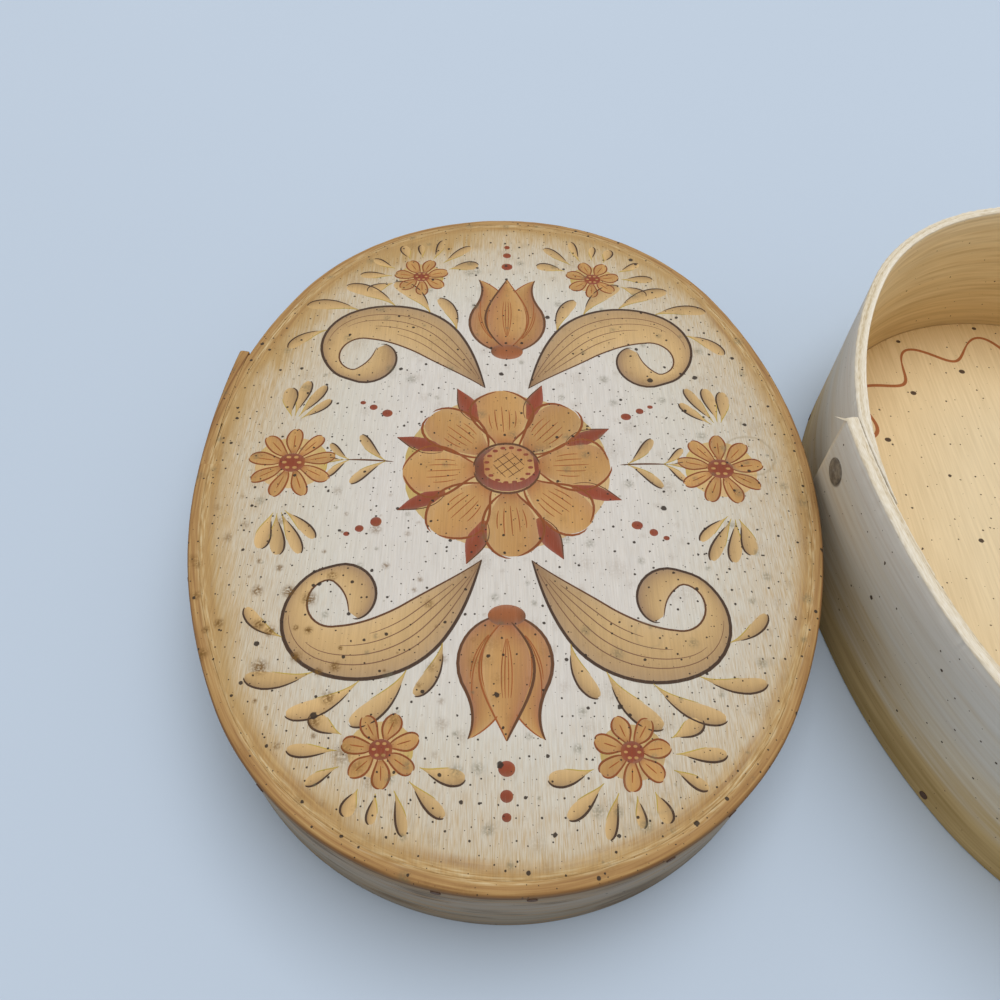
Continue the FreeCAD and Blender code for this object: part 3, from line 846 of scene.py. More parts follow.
# %% The finish of each band
def band_finish(name, tub, outer, inner, top, rivets):
    """A band's finish: its outer and inner walls, its upper edge, and bare wood at its laps."""
    material, add = new_material(name)
    grain = add("Attribute", attribute_name="grain")["Vector"]
    parts = add("SeparateXYZ", grain)
    outside, streak = wall_paint(add, grain, outer)
    outside = rivet_stain_and_shade(add, grain, outside, *rivets)
    inside, _ = wall_paint(add, grain, inner)
    within = add("MapRange", parts["Y"], BAND - 0.5, BAND - 0.1)[0]
    colour = add("Mix.RGBA", within, outside, inside)[0]
    wood, fibres = bare_birch(add, grain)
    raised = swayed(add, parts["Z"], hairs(add, grain, (6, 1, 1)), -0.7, 0.7)
    tall = tub.high - tub.low
    upper = add("MapRange", raised, tall - top["from"], tall - top["to"])[0]
    if top["glazed"]:
        spot = spot_in_mm(add, tub)
        upper_colour = age(add, spot, glaze(add, spot, tub))
        line = add("ValToRGB", upper, stops=LINE_ZONE)["Color"]
        dark = add("Math.MULTIPLY", line, 0.8)[0]
        colour = add("Mix.RGBA", upper, colour, upper_colour)[0]
        colour = add("Mix.RGBA", dark, colour, swatch(RIM_LINE))[0]
        relief_source = streak
    else:
        lap_end = add("MapRange", parts["X"], 1.6, 0.2)[0]
        bare = add("Math.MAXIMUM", upper, lap_end)[0]
        colour = add("Mix.RGBA", bare, colour, wood)[0]
        relief_source = add("Mix", bare, streak, fibres)[0]
    end_finish(add, colour, 0.68, relief_source, 0.1, Specular_IOR_Level=CHALK_SHEEN)
    return material


WALL = {"marks": 0.0, "streaks": 0.1, "specks": 0.35, "drops": 0.2}
# The lid's wall colours are darkened by painted shade, most at the foot.
LID_WALL_AND_SHADE = {**WALL, "reach": 40.0, "strokes": 0.55, "marks": 0.8,
            "ramp": {0.0: "#75695A", 0.3: "#887E6D", 0.7: "#968C7E", 1.0: "#836C48"}}
LID_INSIDE = {**WALL, "reach": 40.0, "strokes": 0.2, "marks": 0.2,
              "ramp": {0.0: "#C6AE84", 0.5: "#CDB992", 1.0: "#C0A675"}}
# The base's wall is ochre and darker towards its foot.
BASE_WALL = {**WALL, "reach": 68.0, "strokes": 0.12, "streaks": 0.06, "specks": 0.6,
             "drops": 0.45, "ramp": {0.0: "#9E834E", 0.2: "#BEA370", 0.45: "#CBC0AA",
                                     0.75: "#CAC8C1", 1.0: "#D2D1CD"}}
BASE_INSIDE = {**WALL, "reach": 68.0, "strokes": 0.25, "drops": 0.35,
               "ramp": {0.0: "#CBAD78", 0.3: "#D3B784", 0.7: "#E0CBA0", 1.0: "#E6D6B4"}}
# Each lap's rivets: the lowest one's height in mm, the step between them, and how many.
LID_RIVETS = (11.0, 14.0, 2)
BASE_RIVETS = (17.5, 33.0, 2)

lid_wall = band_finish("lid_band_paint", lid, LID_WALL_AND_SHADE, LID_INSIDE,
                       {"from": 3.2, "to": 0.6, "glazed": True}, LID_RIVETS)
base_wall = band_finish("base_band_paint", base, BASE_WALL, BASE_INSIDE,
                        {"from": 1.3, "to": 0.5, "glazed": False}, BASE_RIVETS)


# %% [markdown]
# Under the paint the boards are pine, sawn along the grain. The undersides were left bare and
# have gone golden with age. Growth rings meet a flat-sawn face as long, slightly wavy lines a few
# millimetres apart, darker and harder on one side, and fine fibres run along them.

# %% Bare pine and painted floor
PINE = {0.0: "#CDAE7B", 0.55: "#C29D66", 0.85: "#A97F48", 1.0: "#8F6535"}
# The floor's cream darkens into the corner with the wall: painted shade.
FLOOR_AND_CORNER_SHADE = {0.0: "#C2A06C", 0.06: "#C9AB79", 0.2: "#CCB185", 0.5: "#D2BC94", 1.0: "#D5C4A2"}
FLOOR_DROP, FLOOR_SPATTER = "#35251A", ((5.0, 0.5, 0.5), (16.0, 1.2, 0.7))


def bare_pine(name, tub):
    """Aged pine: growth lines along Y about 5 mm apart, and fibres between them."""
    material, add = new_material(name)
    spot = spot_in_mm(add, tub)
    stretched = add("VectorMath.MULTIPLY", spot, (0.012, 0.005, 0.02))[0]
    bend = add("TexNoise", stretched, Scale=1.0)["Color"]
    bent = add("VectorMath.MULTIPLY_ADD", bend, (60, 0, 0), spot)[0]
    scaled = add("VectorMath.MULTIPLY", bent, (0.2, 0.004, 0.2))[0]
    lines = add("TexWave", scaled, Scale=0.32, Distortion=1.2, Detail=2.0,
                wave_profile="SAW")["Fac"]
    fibres = hairs(add, spot, (0.3, 14, 0.3), 4.0)
    mixed = add("Math.MULTIPLY_ADD", fibres, 0.45, lines)[0]
    share = add("MapRange", mixed, 0, 1.4)[0]
    colour = add("ValToRGB", share, stops=PINE)["Color"]
    end_finish(add, colour, 0.65, mixed, 0.08)
    return material


def floor_paint(name, tub):
    """The base's floor inside: ochre cream, with painted shade darker into the corner, and drops
    and strokes.
    """
    material, add = new_material(name)
    spot = spot_in_mm(add, tub)
    inset = edge_distance(add, spot, tub)
    streak = hairs(add, spot, (0.9, 24, 1), 4.0)
    drift = swayed(add, inset, streak, -12.0, 8.0)
    share = add("Math.MULTIPLY", drift, 1 / GLAZE_REACH)[0]
    ground = add("ValToRGB", share, stops=FLOOR_AND_CORNER_SHADE)["Color"]
    stroke = add("Attribute", attribute_name="stroke")
    painted = add("Mix.RGBA", stroke["Alpha"], ground, stroke["Color"])[0]
    colour = brushed(add, painted, streak, 0.92, 1.06)
    colour = spatter(add, spot, colour, FLOOR_DROP, FLOOR_SPATTER)
    end_finish(add, colour, 0.68, streak, 0.06, Specular_IOR_Level=CHALK_SHEEN)
    return material


floor = floor_paint("ochre_floor_paint", base)
pine = {tub.body: bare_pine(f"{tub.body}_bare_pine", tub) for tub in (lid, base)}

# %% [markdown]
# One small thing gives away that the base is old bent wood: where its lap ends, a sliver has
# split off the upper corner and stands out from it. It is a thin diamond-shaped spike with its
# root inside the wood, drawn out to nothing, and as bare as the end that it came from.

# %% The splinter at the base's lap
SLIVER_LENGTH, SLIVER_WIDTH, SLIVER_HEIGHT = 3.4, 1.2, 0.8
SLIVER_ROOT, SLIVER_LEAN, SLIVER_DROP = 0.8, 1.4, 0.9
SLIVER_SHARES = (0.0, 0.3, 0.65, 1.0)


def raise_splinter(tub, name, material):
    """A pale sliver at the upper outer corner of the lap's square end."""
    end = walk(tub, with_lap=True)[0]
    out, back = end[2:4], np.array([-end[3], end[2]])
    corner_spot = np.array([tub.middle.x, tub.middle.y]) + end[:2] + end[4] * out
    points, faces = [], []
    for share in SLIVER_SHARES:
        middle = corner_spot + out * (share * (SLIVER_LENGTH + SLIVER_ROOT) - SLIVER_ROOT)
        middle = middle + back * (SLIVER_ROOT - share * SLIVER_LEAN)
        level = tub.high - SLIVER_DROP + 0.4 * share ** 2
        half = (1 - share) ** 0.8 / 2 + 0.01
        for turn_on, lift in ((-1, 0), (0, -1), (1, 0), (0, 1)):
            points.append([*(middle + back * turn_on * half * SLIVER_WIDTH),
                           level + lift * half * SLIVER_HEIGHT])
    for ring in range(3):
        for side in range(4):
            here, beside = ring * 4 + side, ring * 4 + (side + 1) % 4
            faces.append((here, beside, beside + 4, here + 4))
    faces += [(3, 2, 1, 0), (12, 13, 14, 15)]
    points = np.array(points)
    grain = np.stack([points[:, 0] * 0, points[:, 2] * 0, points[:, 2]], axis=-1)
    sliver = new_piece(name, points * MM, faces, material, tub.body, {"grain": grain})
    print(name, "reaches", SLIVER_LENGTH, "mm out of the lap")


# %% [markdown]
# Now the four wooden pieces can be made. The numbers beside each are its wear in millimetres:
# the lid's edge is handled smooth, and the base's rim has lost its paint and grown a nap.

# %% Make the bands and boards
bend_band(lid, "lid_bent_band", (2.5, 0.12, 0.5, 0.8),
          {"reach": 3.0, "face": 0.2, "rim": 0.3, "fuzz": 0.05}, lid_wall)
bend_band(base, "base_bent_band", (0.8, 0.5, 0.6, 0.8),
          {"reach": 1.5, "face": 0.2, "rim": 0.3, "fuzz": 0.55}, base_wall)
saw_board(lid, "lid_painted_board", {"gap": 0.03, "bevel": 0.3, "ridge": 0.22, "reach": 5.0},
          lid_paint, pine["lid"])
saw_board(base, "base_painted_floor", {"gap": 0.1, "bevel": 0.4, "ridge": 0.1, "reach": 3.0},
          floor, pine["base"])
raise_splinter(base, "base_lap_splinter", base_wall)

# %% [markdown]
# The painting is rosemaling, the scrollwork that country painters in Norway put on boxes like
# this one: a rosette in the middle, leafy scrolls that grow out of it, bells, daisies, and sprays
# of comma strokes to fill what is left. It is this lesson's own arrangement, in the ochres,
# browns and brick red of an old tine.
#
# A painter makes all of it from one movement. The loaded brush is set down, drawn along a curve
# and lifted, which leaves a thin raised film that is widest where the brush was pressed. So here
# too every mark is one stroke: a curved line, a width along it, and colours that change along
# and across it. A stroke is modelled as the thin domed film that it is, a twentieth of a
# millimetre high and a little more where it lies on others, with its edges sunk just into the
# ground so that no gap shows.

# %% A brush stroke's line and width
# A stroke is divided about this many mm apart along it, and into this many parts across it. One
# that is finer than this many mm has fewer parts.
STRETCH, FEWEST = 1.6, 14
ACROSS, FINE, FINE_ACROSS = 8, 2.2, 4
# Where along each kind of stroke its round end starts.
COMMA_HEAD, PETAL_HEAD = 0.72, 0.62


def ahead(angle):
    """One step in a direction in radians, or in each of several."""
    return np.stack([np.cos(angle), np.sin(angle)], axis=-1)


def leftward(angle):
    """One step to the left of a direction, or of each of several."""
    return ahead(angle + math.pi / 2)


def line(start, heading, length, bends):
    """A stroke's path: points, and its direction at each. It leaves the start in a direction in
    degrees, and turns by each of the bends over an equal share of its length."""
    count = max(FEWEST, round(length / STRETCH))
    share = (1 - np.cos(np.linspace(0, math.pi, count + 1))) / 2
    places = np.linspace(0, 1, len(bends) + 1)
    turned = np.interp(share, places, np.concatenate([[0], np.cumsum(bends)]))
    direction = np.radians(heading + turned)
    steps = np.diff(share)[:, None] * length * ahead((direction[1:] + direction[:-1]) / 2)
    points = np.concatenate([[[0.0, 0.0]], np.cumsum(steps, axis=0)]) + np.array(start)
    return share, points, direction


def part_way(path, share):
    """The point at a share of a path, and the direction there."""
    spot = [np.interp(share, path[0], path[1][:, k]) for k in (0, 1)]
    return np.array(spot), np.interp(share, path[0], path[2])


def swell(share, full, power=1.0):
    """The brush being pressed down, until it is at its widest at the share called full."""
    return np.sin(np.minimum(share / full, 1) * math.pi / 2) ** power


def round_end(share, start):
    """The last part of a stroke, from this share on, as half a circle."""
    return np.sqrt(1 - ((share - start).clip(0) / (1 - start)) ** 2)


def comma(share):
    """Drawn from a long thin tail to a round head."""
    return np.where(share < COMMA_HEAD, swell(share, COMMA_HEAD, 1.7),
                    round_end(share, COMMA_HEAD))


def leaf(share):
    """Pointed at both ends."""
    return np.sin(math.pi * share ** 0.8) ** 1.15


def petal(share):
    """Narrow where it grows, broad and round outside."""
    return np.where(share < PETAL_HEAD, 0.25 + 0.75 * swell(share, PETAL_HEAD),
                    round_end(share, PETAL_HEAD))


def round_spot(share):
    """A round dab."""
    return np.sqrt((1 - (2 * share - 1) ** 2).clip(0))


def scroll(share):
    """A leafy scroll: it swells early, thins into the curl and ends in a round bud."""
    thin = 0.22 + 0.78 * np.cos(((share - 0.34) / 0.4).clip(0, 1) * math.pi / 2) ** 1.4
    bud = 0.5 * np.sqrt((1 - ((share - 0.9) / 0.1) ** 2).clip(0))
    return np.maximum(np.minimum(swell(share, 0.34, 1.1), thin) * (share < 0.93), bud)


def hairline(share):
    """A fine line, pressed a little harder in its middle."""
    return np.sin(math.pi * share) ** 0.45


# %% [markdown]
# The colours are earth pigments, which is what such a painter had: ochre for the fills, raw
# sienna in the thin tails, burnt umber and a purplish iron brown for shade and line, and red
# iron oxide for the accents. A fill is a wash, so it lets a little of the ground through.

# %% Pigments
OCHRE, PALE_OCHRE, SIENNA = "#B0874F", "#BE9F6E", "#AC9546"
UMBER, IRON_BROWN, RUST, BRICK = "#58361C", "#75563F", "#8E4F22", "#7E3010"
DARK_UMBER, OUTLINE, VINE_BROWN = "#3C291B", "#7E4219", "#98592F"


def plain(pigment):
    """A fill of one colour all over."""
    return {"body": pigment, "tail": pigment, "shade": pigment, "depth": 0.0}


FILLS = {
    "wash": {"body": PALE_OCHRE, "tail": SIENNA, "shade": SIENNA, "depth": 0.5},
    "leaf": {"body": PALE_OCHRE, "tail": SIENNA, "shade": UMBER, "depth": 0.75},
    "petal": {"body": OCHRE, "tail": RUST, "shade": RUST, "depth": 0.45},
    "scroll": {"body": PALE_OCHRE, "tail": IRON_BROWN, "shade": IRON_BROWN, "depth": 0.95},
    "bell": {"body": OCHRE, "tail": BRICK, "shade": BRICK, "depth": 0.95},
    "brick": {"body": BRICK, "tail": RUST, "shade": UMBER, "depth": 0.4},
    "cup": {"body": RUST, "tail": UMBER, "shade": UMBER, "depth": 0.8},
    "seed": plain(DARK_UMBER),
    "crescent": {"body": BRICK, "tail": UMBER, "shade": UMBER, "depth": 0.7},
    "heart": {"body": OCHRE, "tail": RUST, "shade": RUST, "depth": 0.8},
}


def blend(first, second, share):
    """Part of the way from one colour to another at each point."""
    return first + (second - first) * share[..., None]


# %% [markdown]
# A painting gathers its strokes into one mesh. Each motif is drawn about its own root and then
# set down on the board, turned and perhaps mirrored, as a painter turns the box to paint the
# same flower again. The hand's small unevenness comes from seeded chance.

# %% A painting of many strokes
# A stroke's height, how far its edges are sunk, and how much higher each layer lies, in mm.
FILM, SUNK, LAYER = 0.05, 0.03, 0.022
# How uneven the hand is, as a share of a stroke's width or length.
HAND = 0.05
# A stroke is never narrower than this to each side, in mm, and its edge line runs just inside.
NARROWEST, EDGE_SHARE = 0.03, 0.94
# How suddenly the film falls off at a stroke's ends and edges: the higher, the flatter its top.
END_FALL, EDGE_FALL = 14, 6
# The share of a stroke that its tail's colour runs into, and how far its shade keeps to one side.
TAIL_REACH, SHADE_FALL = 0.3, 2.2


class Painting:
    """Strokes on one board, which become one piece."""

    def __init__(self, seed):
        self.chance = np.random.default_rng(seed)
        self.points, self.colours, self.faces = [], [], []
        self.count = 0
        self.set_down()

    def set_down(self, x=0.0, y=0.0, turn=0.0, mirror=False):
        """Where the next strokes' own origin lies, and how they are turned."""
        angle = math.radians(turn)
        self.root, self.mirror = np.array([x, y]), mirror
        self.axes = np.array([ahead(angle) * (-1 if mirror else 1), leftward(angle)])

    def stroke(self, path, width, shape, fill, layer=0, side=1, cover=0.97):
        """Lays one stroke and gives back its two edges, for lines that follow them."""
        share, points, direction = path
        unsteady = 1 + HAND * self.chance.normal(size=2).clip(-1.5, 1.5)
        half = (width / 2 * shape(share) * unsteady[0]).clip(NARROWEST)[:, None]
        across = np.linspace(-1, 1, (ACROSS if width > FINE else FINE_ACROSS) + 1)[None, :]
        left = leftward(direction)
        flat = points[:, None, :] + left[:, None, :] * (half * across)[..., None]
        ends = np.abs(2 * share - 1)[:, None] ** END_FALL
        dome = 1 - np.maximum(np.abs(across) ** EDGE_FALL, ends)
        top = FILM + layer * LAYER
        height = -SUNK + (top + SUNK) * dome
        body, tail, shade = (np.array(swatch(fill[part])[:3]) for part in
                             ("body", "tail", "shade"))
        along = np.broadcast_to(share[:, None], dome.shape)
        colour = blend(np.broadcast_to(body, (*dome.shape, 3)), tail,
                       (1 - along / TAIL_REACH).clip(0, 1) ** 1.5 * 0.9)
        shaded = ((across * side + 1) / 2).clip(0, 1) ** SHADE_FALL * fill["depth"]
        colour = blend(colour, shade, np.broadcast_to(shaded, dome.shape) * (0.4 + 0.6 * along))
        colour = colour * (1 + HAND * self.chance.normal())
        thin = cover * (1 - 0.12 * np.abs(across) ** 3) * np.ones_like(along)
        self.keep(flat, height, np.concatenate([colour, thin[..., None]], axis=-1))
        outer = half * EDGE_SHARE
        return {1: points + left * outer, -1: points - left * outer}

    def keep(self, flat, height, colours):
        """Adds a closed film: its domed top, and a flat underside between its two edges."""
        placed = flat @ self.axes + self.root
        rows, row = height.shape
        start = self.count
        self.points.append(np.concatenate([placed, height[..., None]], axis=-1).reshape(-1, 3))
        self.colours.append(colours.reshape(-1, 4))
        self.count += rows * row
        faces = net(rows, row, start=start)
        faces += [(foot, foot + row - 1, foot + 2 * row - 1, foot + row)
                  for foot in range(start, self.count - row, row)]
        faces.append(tuple(range(start, start + row)))
        faces.append(tuple(reversed(range(self.count - row, self.count))))
        self.faces += [face[::-1] for face in faces] if self.mirror else faces

    def follow(self, edge, part, width, pigment, layer=2, ripple=0.0):
        """A fine line along a share of an edge that a stroke left, perhaps rippled in and out."""
        count = len(edge)
        span = np.linspace(part[0], part[1], count)
        share = np.linspace(0, 1, count)
        points = np.stack([np.interp(span, share, edge[:, k]) for k in (0, 1)], axis=-1)
        direction = np.arctan2(np.gradient(points[:, 1]), np.gradient(points[:, 0]))
        wave = ripple * np.sin(share * 3 * math.pi + self.chance.uniform(0, math.pi))[:, None]
        path = (share, points + wave * leftward(direction), direction)
        self.stroke(path, width, hairline, plain(pigment), layer, cover=1.0)

    def hair(self, start, heading, length, bends, width, pigment, layer=2):
        """A fine line of its own."""
        path = line(start, heading, length, bends)
        self.stroke(path, width, hairline, plain(pigment), layer, cover=1.0)

    def dab(self, x, y, size, fill="brick", layer=1, tall=1.0):
        """A round spot, or an oval one. It gives back its edges."""
        path = line((x - size / 2, y), 0, size, (0,))
        return self.stroke(path, size * tall, round_spot, FILLS[fill], layer)

    def finish(self, name, tub, material, slot):
        """Makes the piece, on the board's upper face."""
        level = tub.board_high
        points = np.concatenate(self.points) + np.array([tub.middle.x, tub.middle.y, level])
        piece = new_piece(name, points * MM, self.faces, material, tub.body,
                          {"stroke": np.concatenate(self.colours)})
        print(name, len(self.faces), "faces")


# %% [markdown]
# A few motifs are enough. The smallest is the comma, a fill with one dark, rubbed edge. A spray
# is a fan of commas whose tails meet, and a sprig has them on both sides of a stem.

# %% Commas, sprays and sprigs
def draw_comma(art, start, heading, length, width, bends, side=1):
    """A fill with a tail, and a dark line along one side of it."""
    path = line(start, heading, length, bends)
    edges = art.stroke(path, width, comma, FILLS["leaf"], side=side)
    art.follow(edges[side], (0.3, 0.98), 0.8, DARK_UMBER)
    art.follow(edges[-side], (0.02, 0.6), 0.45, SIENNA, layer=1)


def draw_spray(art, headings, length, width, bend, side, reach):
    """Commas that fan out from one place, the middle ones longest."""
    for index, heading in enumerate(headings):
        share = index / max(1, len(headings) - 1)
        long = length * (0.7 + 0.3 * math.sin(math.pi * (0.15 + 0.7 * share)))
        long *= 1 + HAND * art.chance.normal()
        draw_comma(art, reach * ahead(math.radians(heading)), heading, long,
                   width * (0.8 + 0.4 * share), (bend * (share - 0.35),), side)


def draw_sprig(art, start, heading, length, bend, pairs, reach):
    """A bent stem with commas on both sides, smaller towards its tip."""
    path = line(start, heading, length, (bend,))
    for index in range(pairs):
        share = 0.15 + 0.75 * index / max(1, pairs - 1)
        spot, facing = part_way(path, share)
        size = reach * (1.1 - 0.45 * share)
        for side in (1, -1):
            draw_comma(art, spot, math.degrees(facing) + side * 30, size, size * 0.25,
                       (side * 30,), side)
    tip, facing = part_way(path, 1)
    draw_comma(art, tip, math.degrees(facing), reach * 0.65, reach * 0.18, (0,))
    art.hair(start, heading, length, (bend,), 0.9, UMBER, 3)


# %% [markdown]
# The rosette and the daisy are petals round a heart, on a wash of ochre that holds them together.
# A petal gets its line and its veins after it has dried, so these lie a layer higher.

# %% Flowers
def draw_petal(art, heading, near, length, width, veins):
    """One petal from the flower's middle outwards, outlined and veined."""
    angle = math.radians(heading)
    out, aside = ahead(angle), leftward(angle)
    path = line(out * near, heading, length, (0,))
    edges = art.stroke(path, width, petal, FILLS["petal"], layer=2)
    for side in (1, -1):
        art.follow(edges[side], (0.02, 0.985), 0.6 + width * 0.035, OUTLINE, layer=4,
                   ripple=width * 0.03)
    for vein in range(veins):
        off = vein - (veins - 1) / 2
        foot = out * (near + length * (0.2 + 0.04 * abs(off))) + aside * off * width * 0.09
        long = length * (0.52 - 0.1 * abs(off)) * (1 + HAND * art.chance.normal())
        art.hair(foot, heading + off * 9, long, (-off * 12,), 0.6, RUST, layer=4)


def draw_heart(art, radius, dots):
    """A round heart: a dark crescent, a paler round on it, a ring of red spots and a hatch."""
    edges = art.dab(0, 0, radius * 2, "crescent", 5)
    for side in (1, -1):
        art.follow(edges[side], (0.0, 1.0), 1.2, UMBER, layer=7)
    middle = radius * np.array([0.06, 0.1])
    art.dab(*middle, radius * 2 * 0.84, "heart", 7)
    for index in range(dots):
        spot = middle + radius * 0.66 * ahead(2 * math.pi * (index + 0.5) / dots)
        art.dab(*spot, radius * 0.17, "brick", 9)
    for index in range(4):
        off = (index - 1.5) * radius * 0.24
        half = math.sqrt((radius * 0.5) ** 2 - off ** 2)
        for heading in (35, 125):
            angle = math.radians(heading)
            start = middle + leftward(angle) * off - ahead(angle) * half
            art.hair(start, heading, half * 2, (0,), 0.55, UMBER, 9)


def draw_rosette(art, petals, radius):
    """A wash, broad petals on it with pointed red ones between, and a heart."""
    step = 360 / petals
    art.dab(0, 0, radius * 2, "wash", 0)
    for index in range(petals):
        heading = (index + 0.5) * step
        root = radius * 0.62 * ahead(math.radians(heading))
        edges = art.stroke(line(root, heading, radius * 0.52, (0,)), radius * 0.2, leaf,
                           FILLS["brick"], layer=1)
        art.follow(edges[1], (0.1, 0.95), 0.6, UMBER)
    for index in range(petals):
        draw_petal(art, index * step, radius * 0.28, radius * 0.72, radius * 0.6, veins=5)
    draw_heart(art, radius * 0.32, petals * 2)


def draw_daisy(art, petals, radius):
    """Slim petals on a wash round a red heart."""
    art.dab(0, 0, radius * 1.7, "wash", 0)
    for index in range(petals):
        draw_petal(art, index * 360 / petals + 8, radius * 0.25, radius * 0.75,
                   radius * 2.4 / petals + 1.4, veins=1)
    art.dab(0, 0, radius * 0.62, "brick", 5)
    for heading in range(0, 360, 60):
        art.dab(*(radius * 0.17 * ahead(math.radians(heading))), radius * 0.12, "petal", 7)


# %% [markdown]
# The bell is three leaf strokes and a dark cup, with the middle one laid over the others. The
# scroll is one long swelling stroke that rolls up, with veins inside and fronds outside, which
# are laid first so that it covers their tails. Rows of red spots fill what is left.

# %% Bells, spots and scrolls
def draw_bell(art, size):
    """A bell that opens along +Y: two flared side petals, a middle one, and a dark cup."""
    for side in (1, -1):
        path = line((side * size * 0.04, 0), 90 - side * 42, size, (side * 58, -side * 60))
        edges = art.stroke(path, size * 0.36, leaf, FILLS["bell"], side=-side)
        art.follow(edges[-side], (0.04, 0.97), 1.2, UMBER)
        art.follow(edges[side], (0.1, 0.9), 0.8, RUST)
        for turn, long in ((34, 0.55), (26, 0.44), (42, 0.4)):
            art.hair((side * size * 0.12, size * 0.14), 90 - side * turn, size * long,
                     (side * 44,), 0.6, RUST)
    edges = art.stroke(line((0, size * 0.02), 90, size * 0.92, (0,)), size * 0.42, leaf,
                       FILLS["bell"], layer=3)
    art.follow(edges[1], (0.04, 0.97), 1.2, UMBER, layer=5)
    art.follow(edges[-1], (0.04, 0.97), 0.8, RUST, layer=5)
    for lean in (-14, -5, 5, 14):
        art.hair((0, size * 0.16), 90 + lean, size * 0.5, (-lean * 1.6,), 0.55, RUST, 5)
    art.dab(0, 0, size * 0.28, "cup", 5, tall=0.2 / 0.28)


def draw_dots(art, start, heading, sizes):
    """A row of red spots, each smaller than the last."""
    spot = np.array(start)
    for size in sizes:
        art.dab(*spot, size)
        spot = spot + size * 1.55 * ahead(math.radians(heading))


def draw_scroll(art, start, heading, length, width, bends, fronds):
    """A leafy scroll, its veins, and fronds on the outside of its bend."""
    path = line(start, heading, length, bends)
    side = 1 if sum(bends) < 0 else -1
    for share, reach in fronds:
        spot, facing = part_way(path, share)
        spot = spot + side * leftward(facing) * width * 0.46 * scroll(np.array([share]))[0]
        draw_comma(art, spot, math.degrees(facing) + side * 42, reach, reach * 0.27,
                   (-side * 44,), side)
    edges = art.stroke(path, width, scroll, FILLS["scroll"], layer=3, side=side)
    art.follow(edges[side], (0.0, 0.99), 1.3, DARK_UMBER, layer=5)
    art.follow(edges[-side], (0.0, 0.97), 0.8, UMBER, layer=5)
    for inner, part in ((0.25, (0.1, 0.62)), (0.42, (0.14, 0.56)), (0.6, (0.16, 0.5)),
                        (0.76, (0.2, 0.44))):
        vein = edges[side] * (1 - inner) + edges[-side] * inner
        art.follow(vein, part, 0.6, IRON_BROWN, layer=5)


# %% [markdown]
# The layout is drawn for one side and mirrored, then the two ends are varied. Everything keeps
# clear of the last centimetre, where the glaze is dark.

# %% The painting on the lid
def paint_side(art, mirror):
    """Scrolls, a daisy, sprigs and sprays on one side of the long axis."""
    sign = -1 if mirror else 1
    art.set_down(mirror=mirror)
    draw_scroll(art, (8, 37), 58, 122, 22, (-12, -56, -118, -182),
                ((0.24, 21), (0.33, 25), (0.42, 25), (0.51, 22), (0.6, 18)))
    draw_scroll(art, (8, -37), -58, 118, 21, (12, 56, 120, 182),
                ((0.24, 20), (0.33, 24), (0.42, 24), (0.51, 21), (0.6, 17)))
    draw_sprig(art, (39, 2), 6, 17, -8, 2, 15)
    for y, turn in ((24, 1), (-23, -1)):
        draw_dots(art, (43, y), turn * 28, (3.8, 2.9, 2.1))
    for y, turn in ((19, 1), (-17, -1)):
        art.set_down(76 * sign, y, mirror=mirror)
        draw_spray(art, [turn * angle for angle in (142, 118, 94, 70)], 18, 4.6, turn * 36,
                   turn, 3)
    art.set_down(74 * sign, 1, mirror=mirror)
    draw_daisy(art, 9, 15)
    for y, turn in ((98, 1), (-99, -1)):
        art.set_down(35 * sign, y, mirror=mirror)
        draw_daisy(art, 7, 11)
        draw_spray(art, [turn * angle for angle in (24, 2, -20)], 13, 4.4, turn * -36, turn, 12)
        draw_spray(art, [turn * angle for angle in (112, 134, 156)], 15, 4.4, turn * 36, -turn,
                   12)
        draw_spray(art, [turn * angle for angle in (88, 64)], 10, 3.6, turn * 20, -turn, 12)


lid_art = Painting(seed=7)
for mirror in (False, True):
    paint_side(lid_art, mirror)
lid_art.set_down(0, 56)
draw_bell(lid_art, 44)
draw_dots(lid_art, (0, 49), 90, (4.6, 3.4, 2.4))
lid_art.set_down(0, -57, 180)
draw_bell(lid_art, 42)
draw_dots(lid_art, (0, 47), 90, (4.8, 3.6, 2.6))
lid_art.set_down(0, 0, 4)
draw_rosette(lid_art, 8, 36)
lid_art.finish("lid_rosemaling", lid, lid_paint, "painted_lid")

# %% [markdown]
# Inside the base the same hand ran a plain wavy vine round the floor, with a dark spot in each
# hollow. It follows the oval, so each wave is laid along the same arcs as the band.

# %% The vine on the base's floor
VINE_INSET, VINE_SWING, WAVE_LENGTH = 16.0, 6.5, 42.0


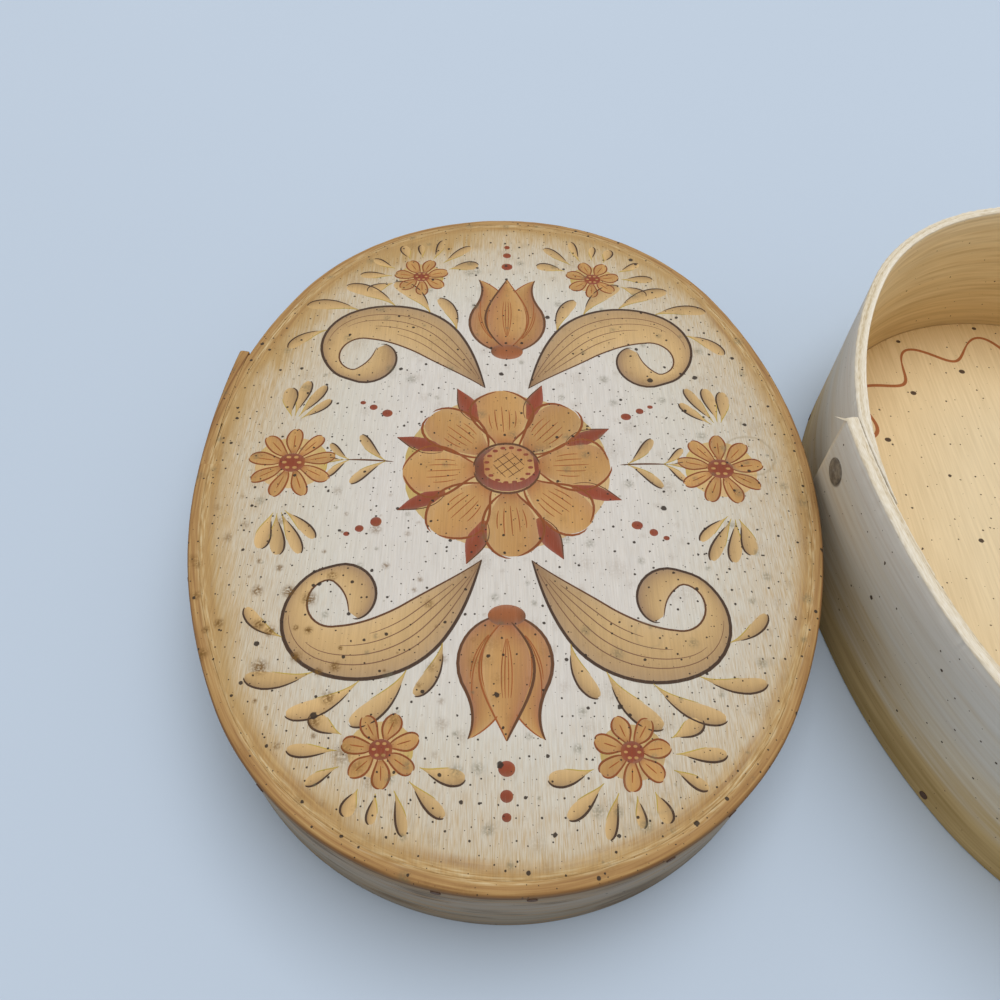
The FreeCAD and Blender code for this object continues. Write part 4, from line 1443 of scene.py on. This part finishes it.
def draw_vine(art, tub):
    """Red-brown waves parallel to the edge, one stroke to each wave."""
    rows = walk(tub, with_lap=False)
    around = rows[-1, 6]
    waves_round = round(around / WAVE_LENGTH)
    phase = rows[:, 6] / around * waves_round
    inset = BAND + VINE_INSET + VINE_SWING * np.sin(2 * math.pi * phase)
    vine = place(tub, rows, inset[:, None], tub.board_high)[:, 0, :2] / MM
    vine = vine - np.array([tub.middle.x, tub.middle.y])
    for wave in range(waves_round):
        part = vine[(phase >= wave - 0.12) & (phase <= wave + 1.02)]
        art.follow(part, (0.0, 1.0), 2.0, VINE_BROWN, layer=1)
        for hollow, size, aside in ((0.25, 2.6, 0.94), (0.75, 2.0, 1.05)):
            art.dab(*(vine[np.argmin(np.abs(phase - wave - hollow))] * aside), size, "seed")


floor_art = Painting(seed=11)
draw_vine(floor_art, base)
floor_art.finish("base_floor_vine", base, floor, "painted_floor")

# %% [markdown]
# The rivets are soft zinc-coated steel, hammered flat and gone dull, so they are metal with a
# high, uneven roughness. The pegs are end grain, which drinks glaze and turns nearly black. Both
# have exactly their solids' shapes, so the solids stay and only take a finish.

# %% Rivets and pegs
ZINC = {0.0: "#5A564E", 0.42: "#76716A", 0.6: "#8E8A82", 1.0: "#A5A197"}
END_GRAIN = {0.0: "#2B1A10", 0.5: "#4C3320", 1.0: "#6E4C2E"}


def dull_zinc(name):
    """Hammered, weathered zinc on steel: grey metal, blotched with oxide."""
    material, add = new_material(name)
    spot = spot_in_mm(add)
    oxide = add("TexNoise", spot, Scale=0.5, Detail=5.0)["Fac"]
    dents = add("TexNoise", spot, Scale=0.35, Detail=1.0)["Fac"]
    colour = add("ValToRGB", oxide, stops=ZINC)["Color"]
    rough = add("MapRange", oxide, 0, 1, 0.75, 0.45)[0]
    end_finish(add, colour, rough, dents, 0.5, Metallic=0.85)
    return material


def stained_peg(name):
    """The stained end grain of a peg, with pores."""
    material, add = new_material(name)
    pores = add("TexNoise", spot_in_mm(add), Scale=3.0, Detail=3.0)["Fac"]
    colour = add("ValToRGB", pores, stops=END_GRAIN)["Color"]
    end_finish(add, colour, 0.7, pores, 0.15)
    return material


for finish, names in ((dull_zinc("dull_zinc"), ("lap_rivets", "lap_burrs")),
                      (stained_peg("stained_peg"), ("pegs",))):
    for tub in (lid, base):
        for name in names:
            solid = nodes[f"{tub.body}_{name}"]
            solid.data.materials.clear()
            solid.data.materials.append(finish)
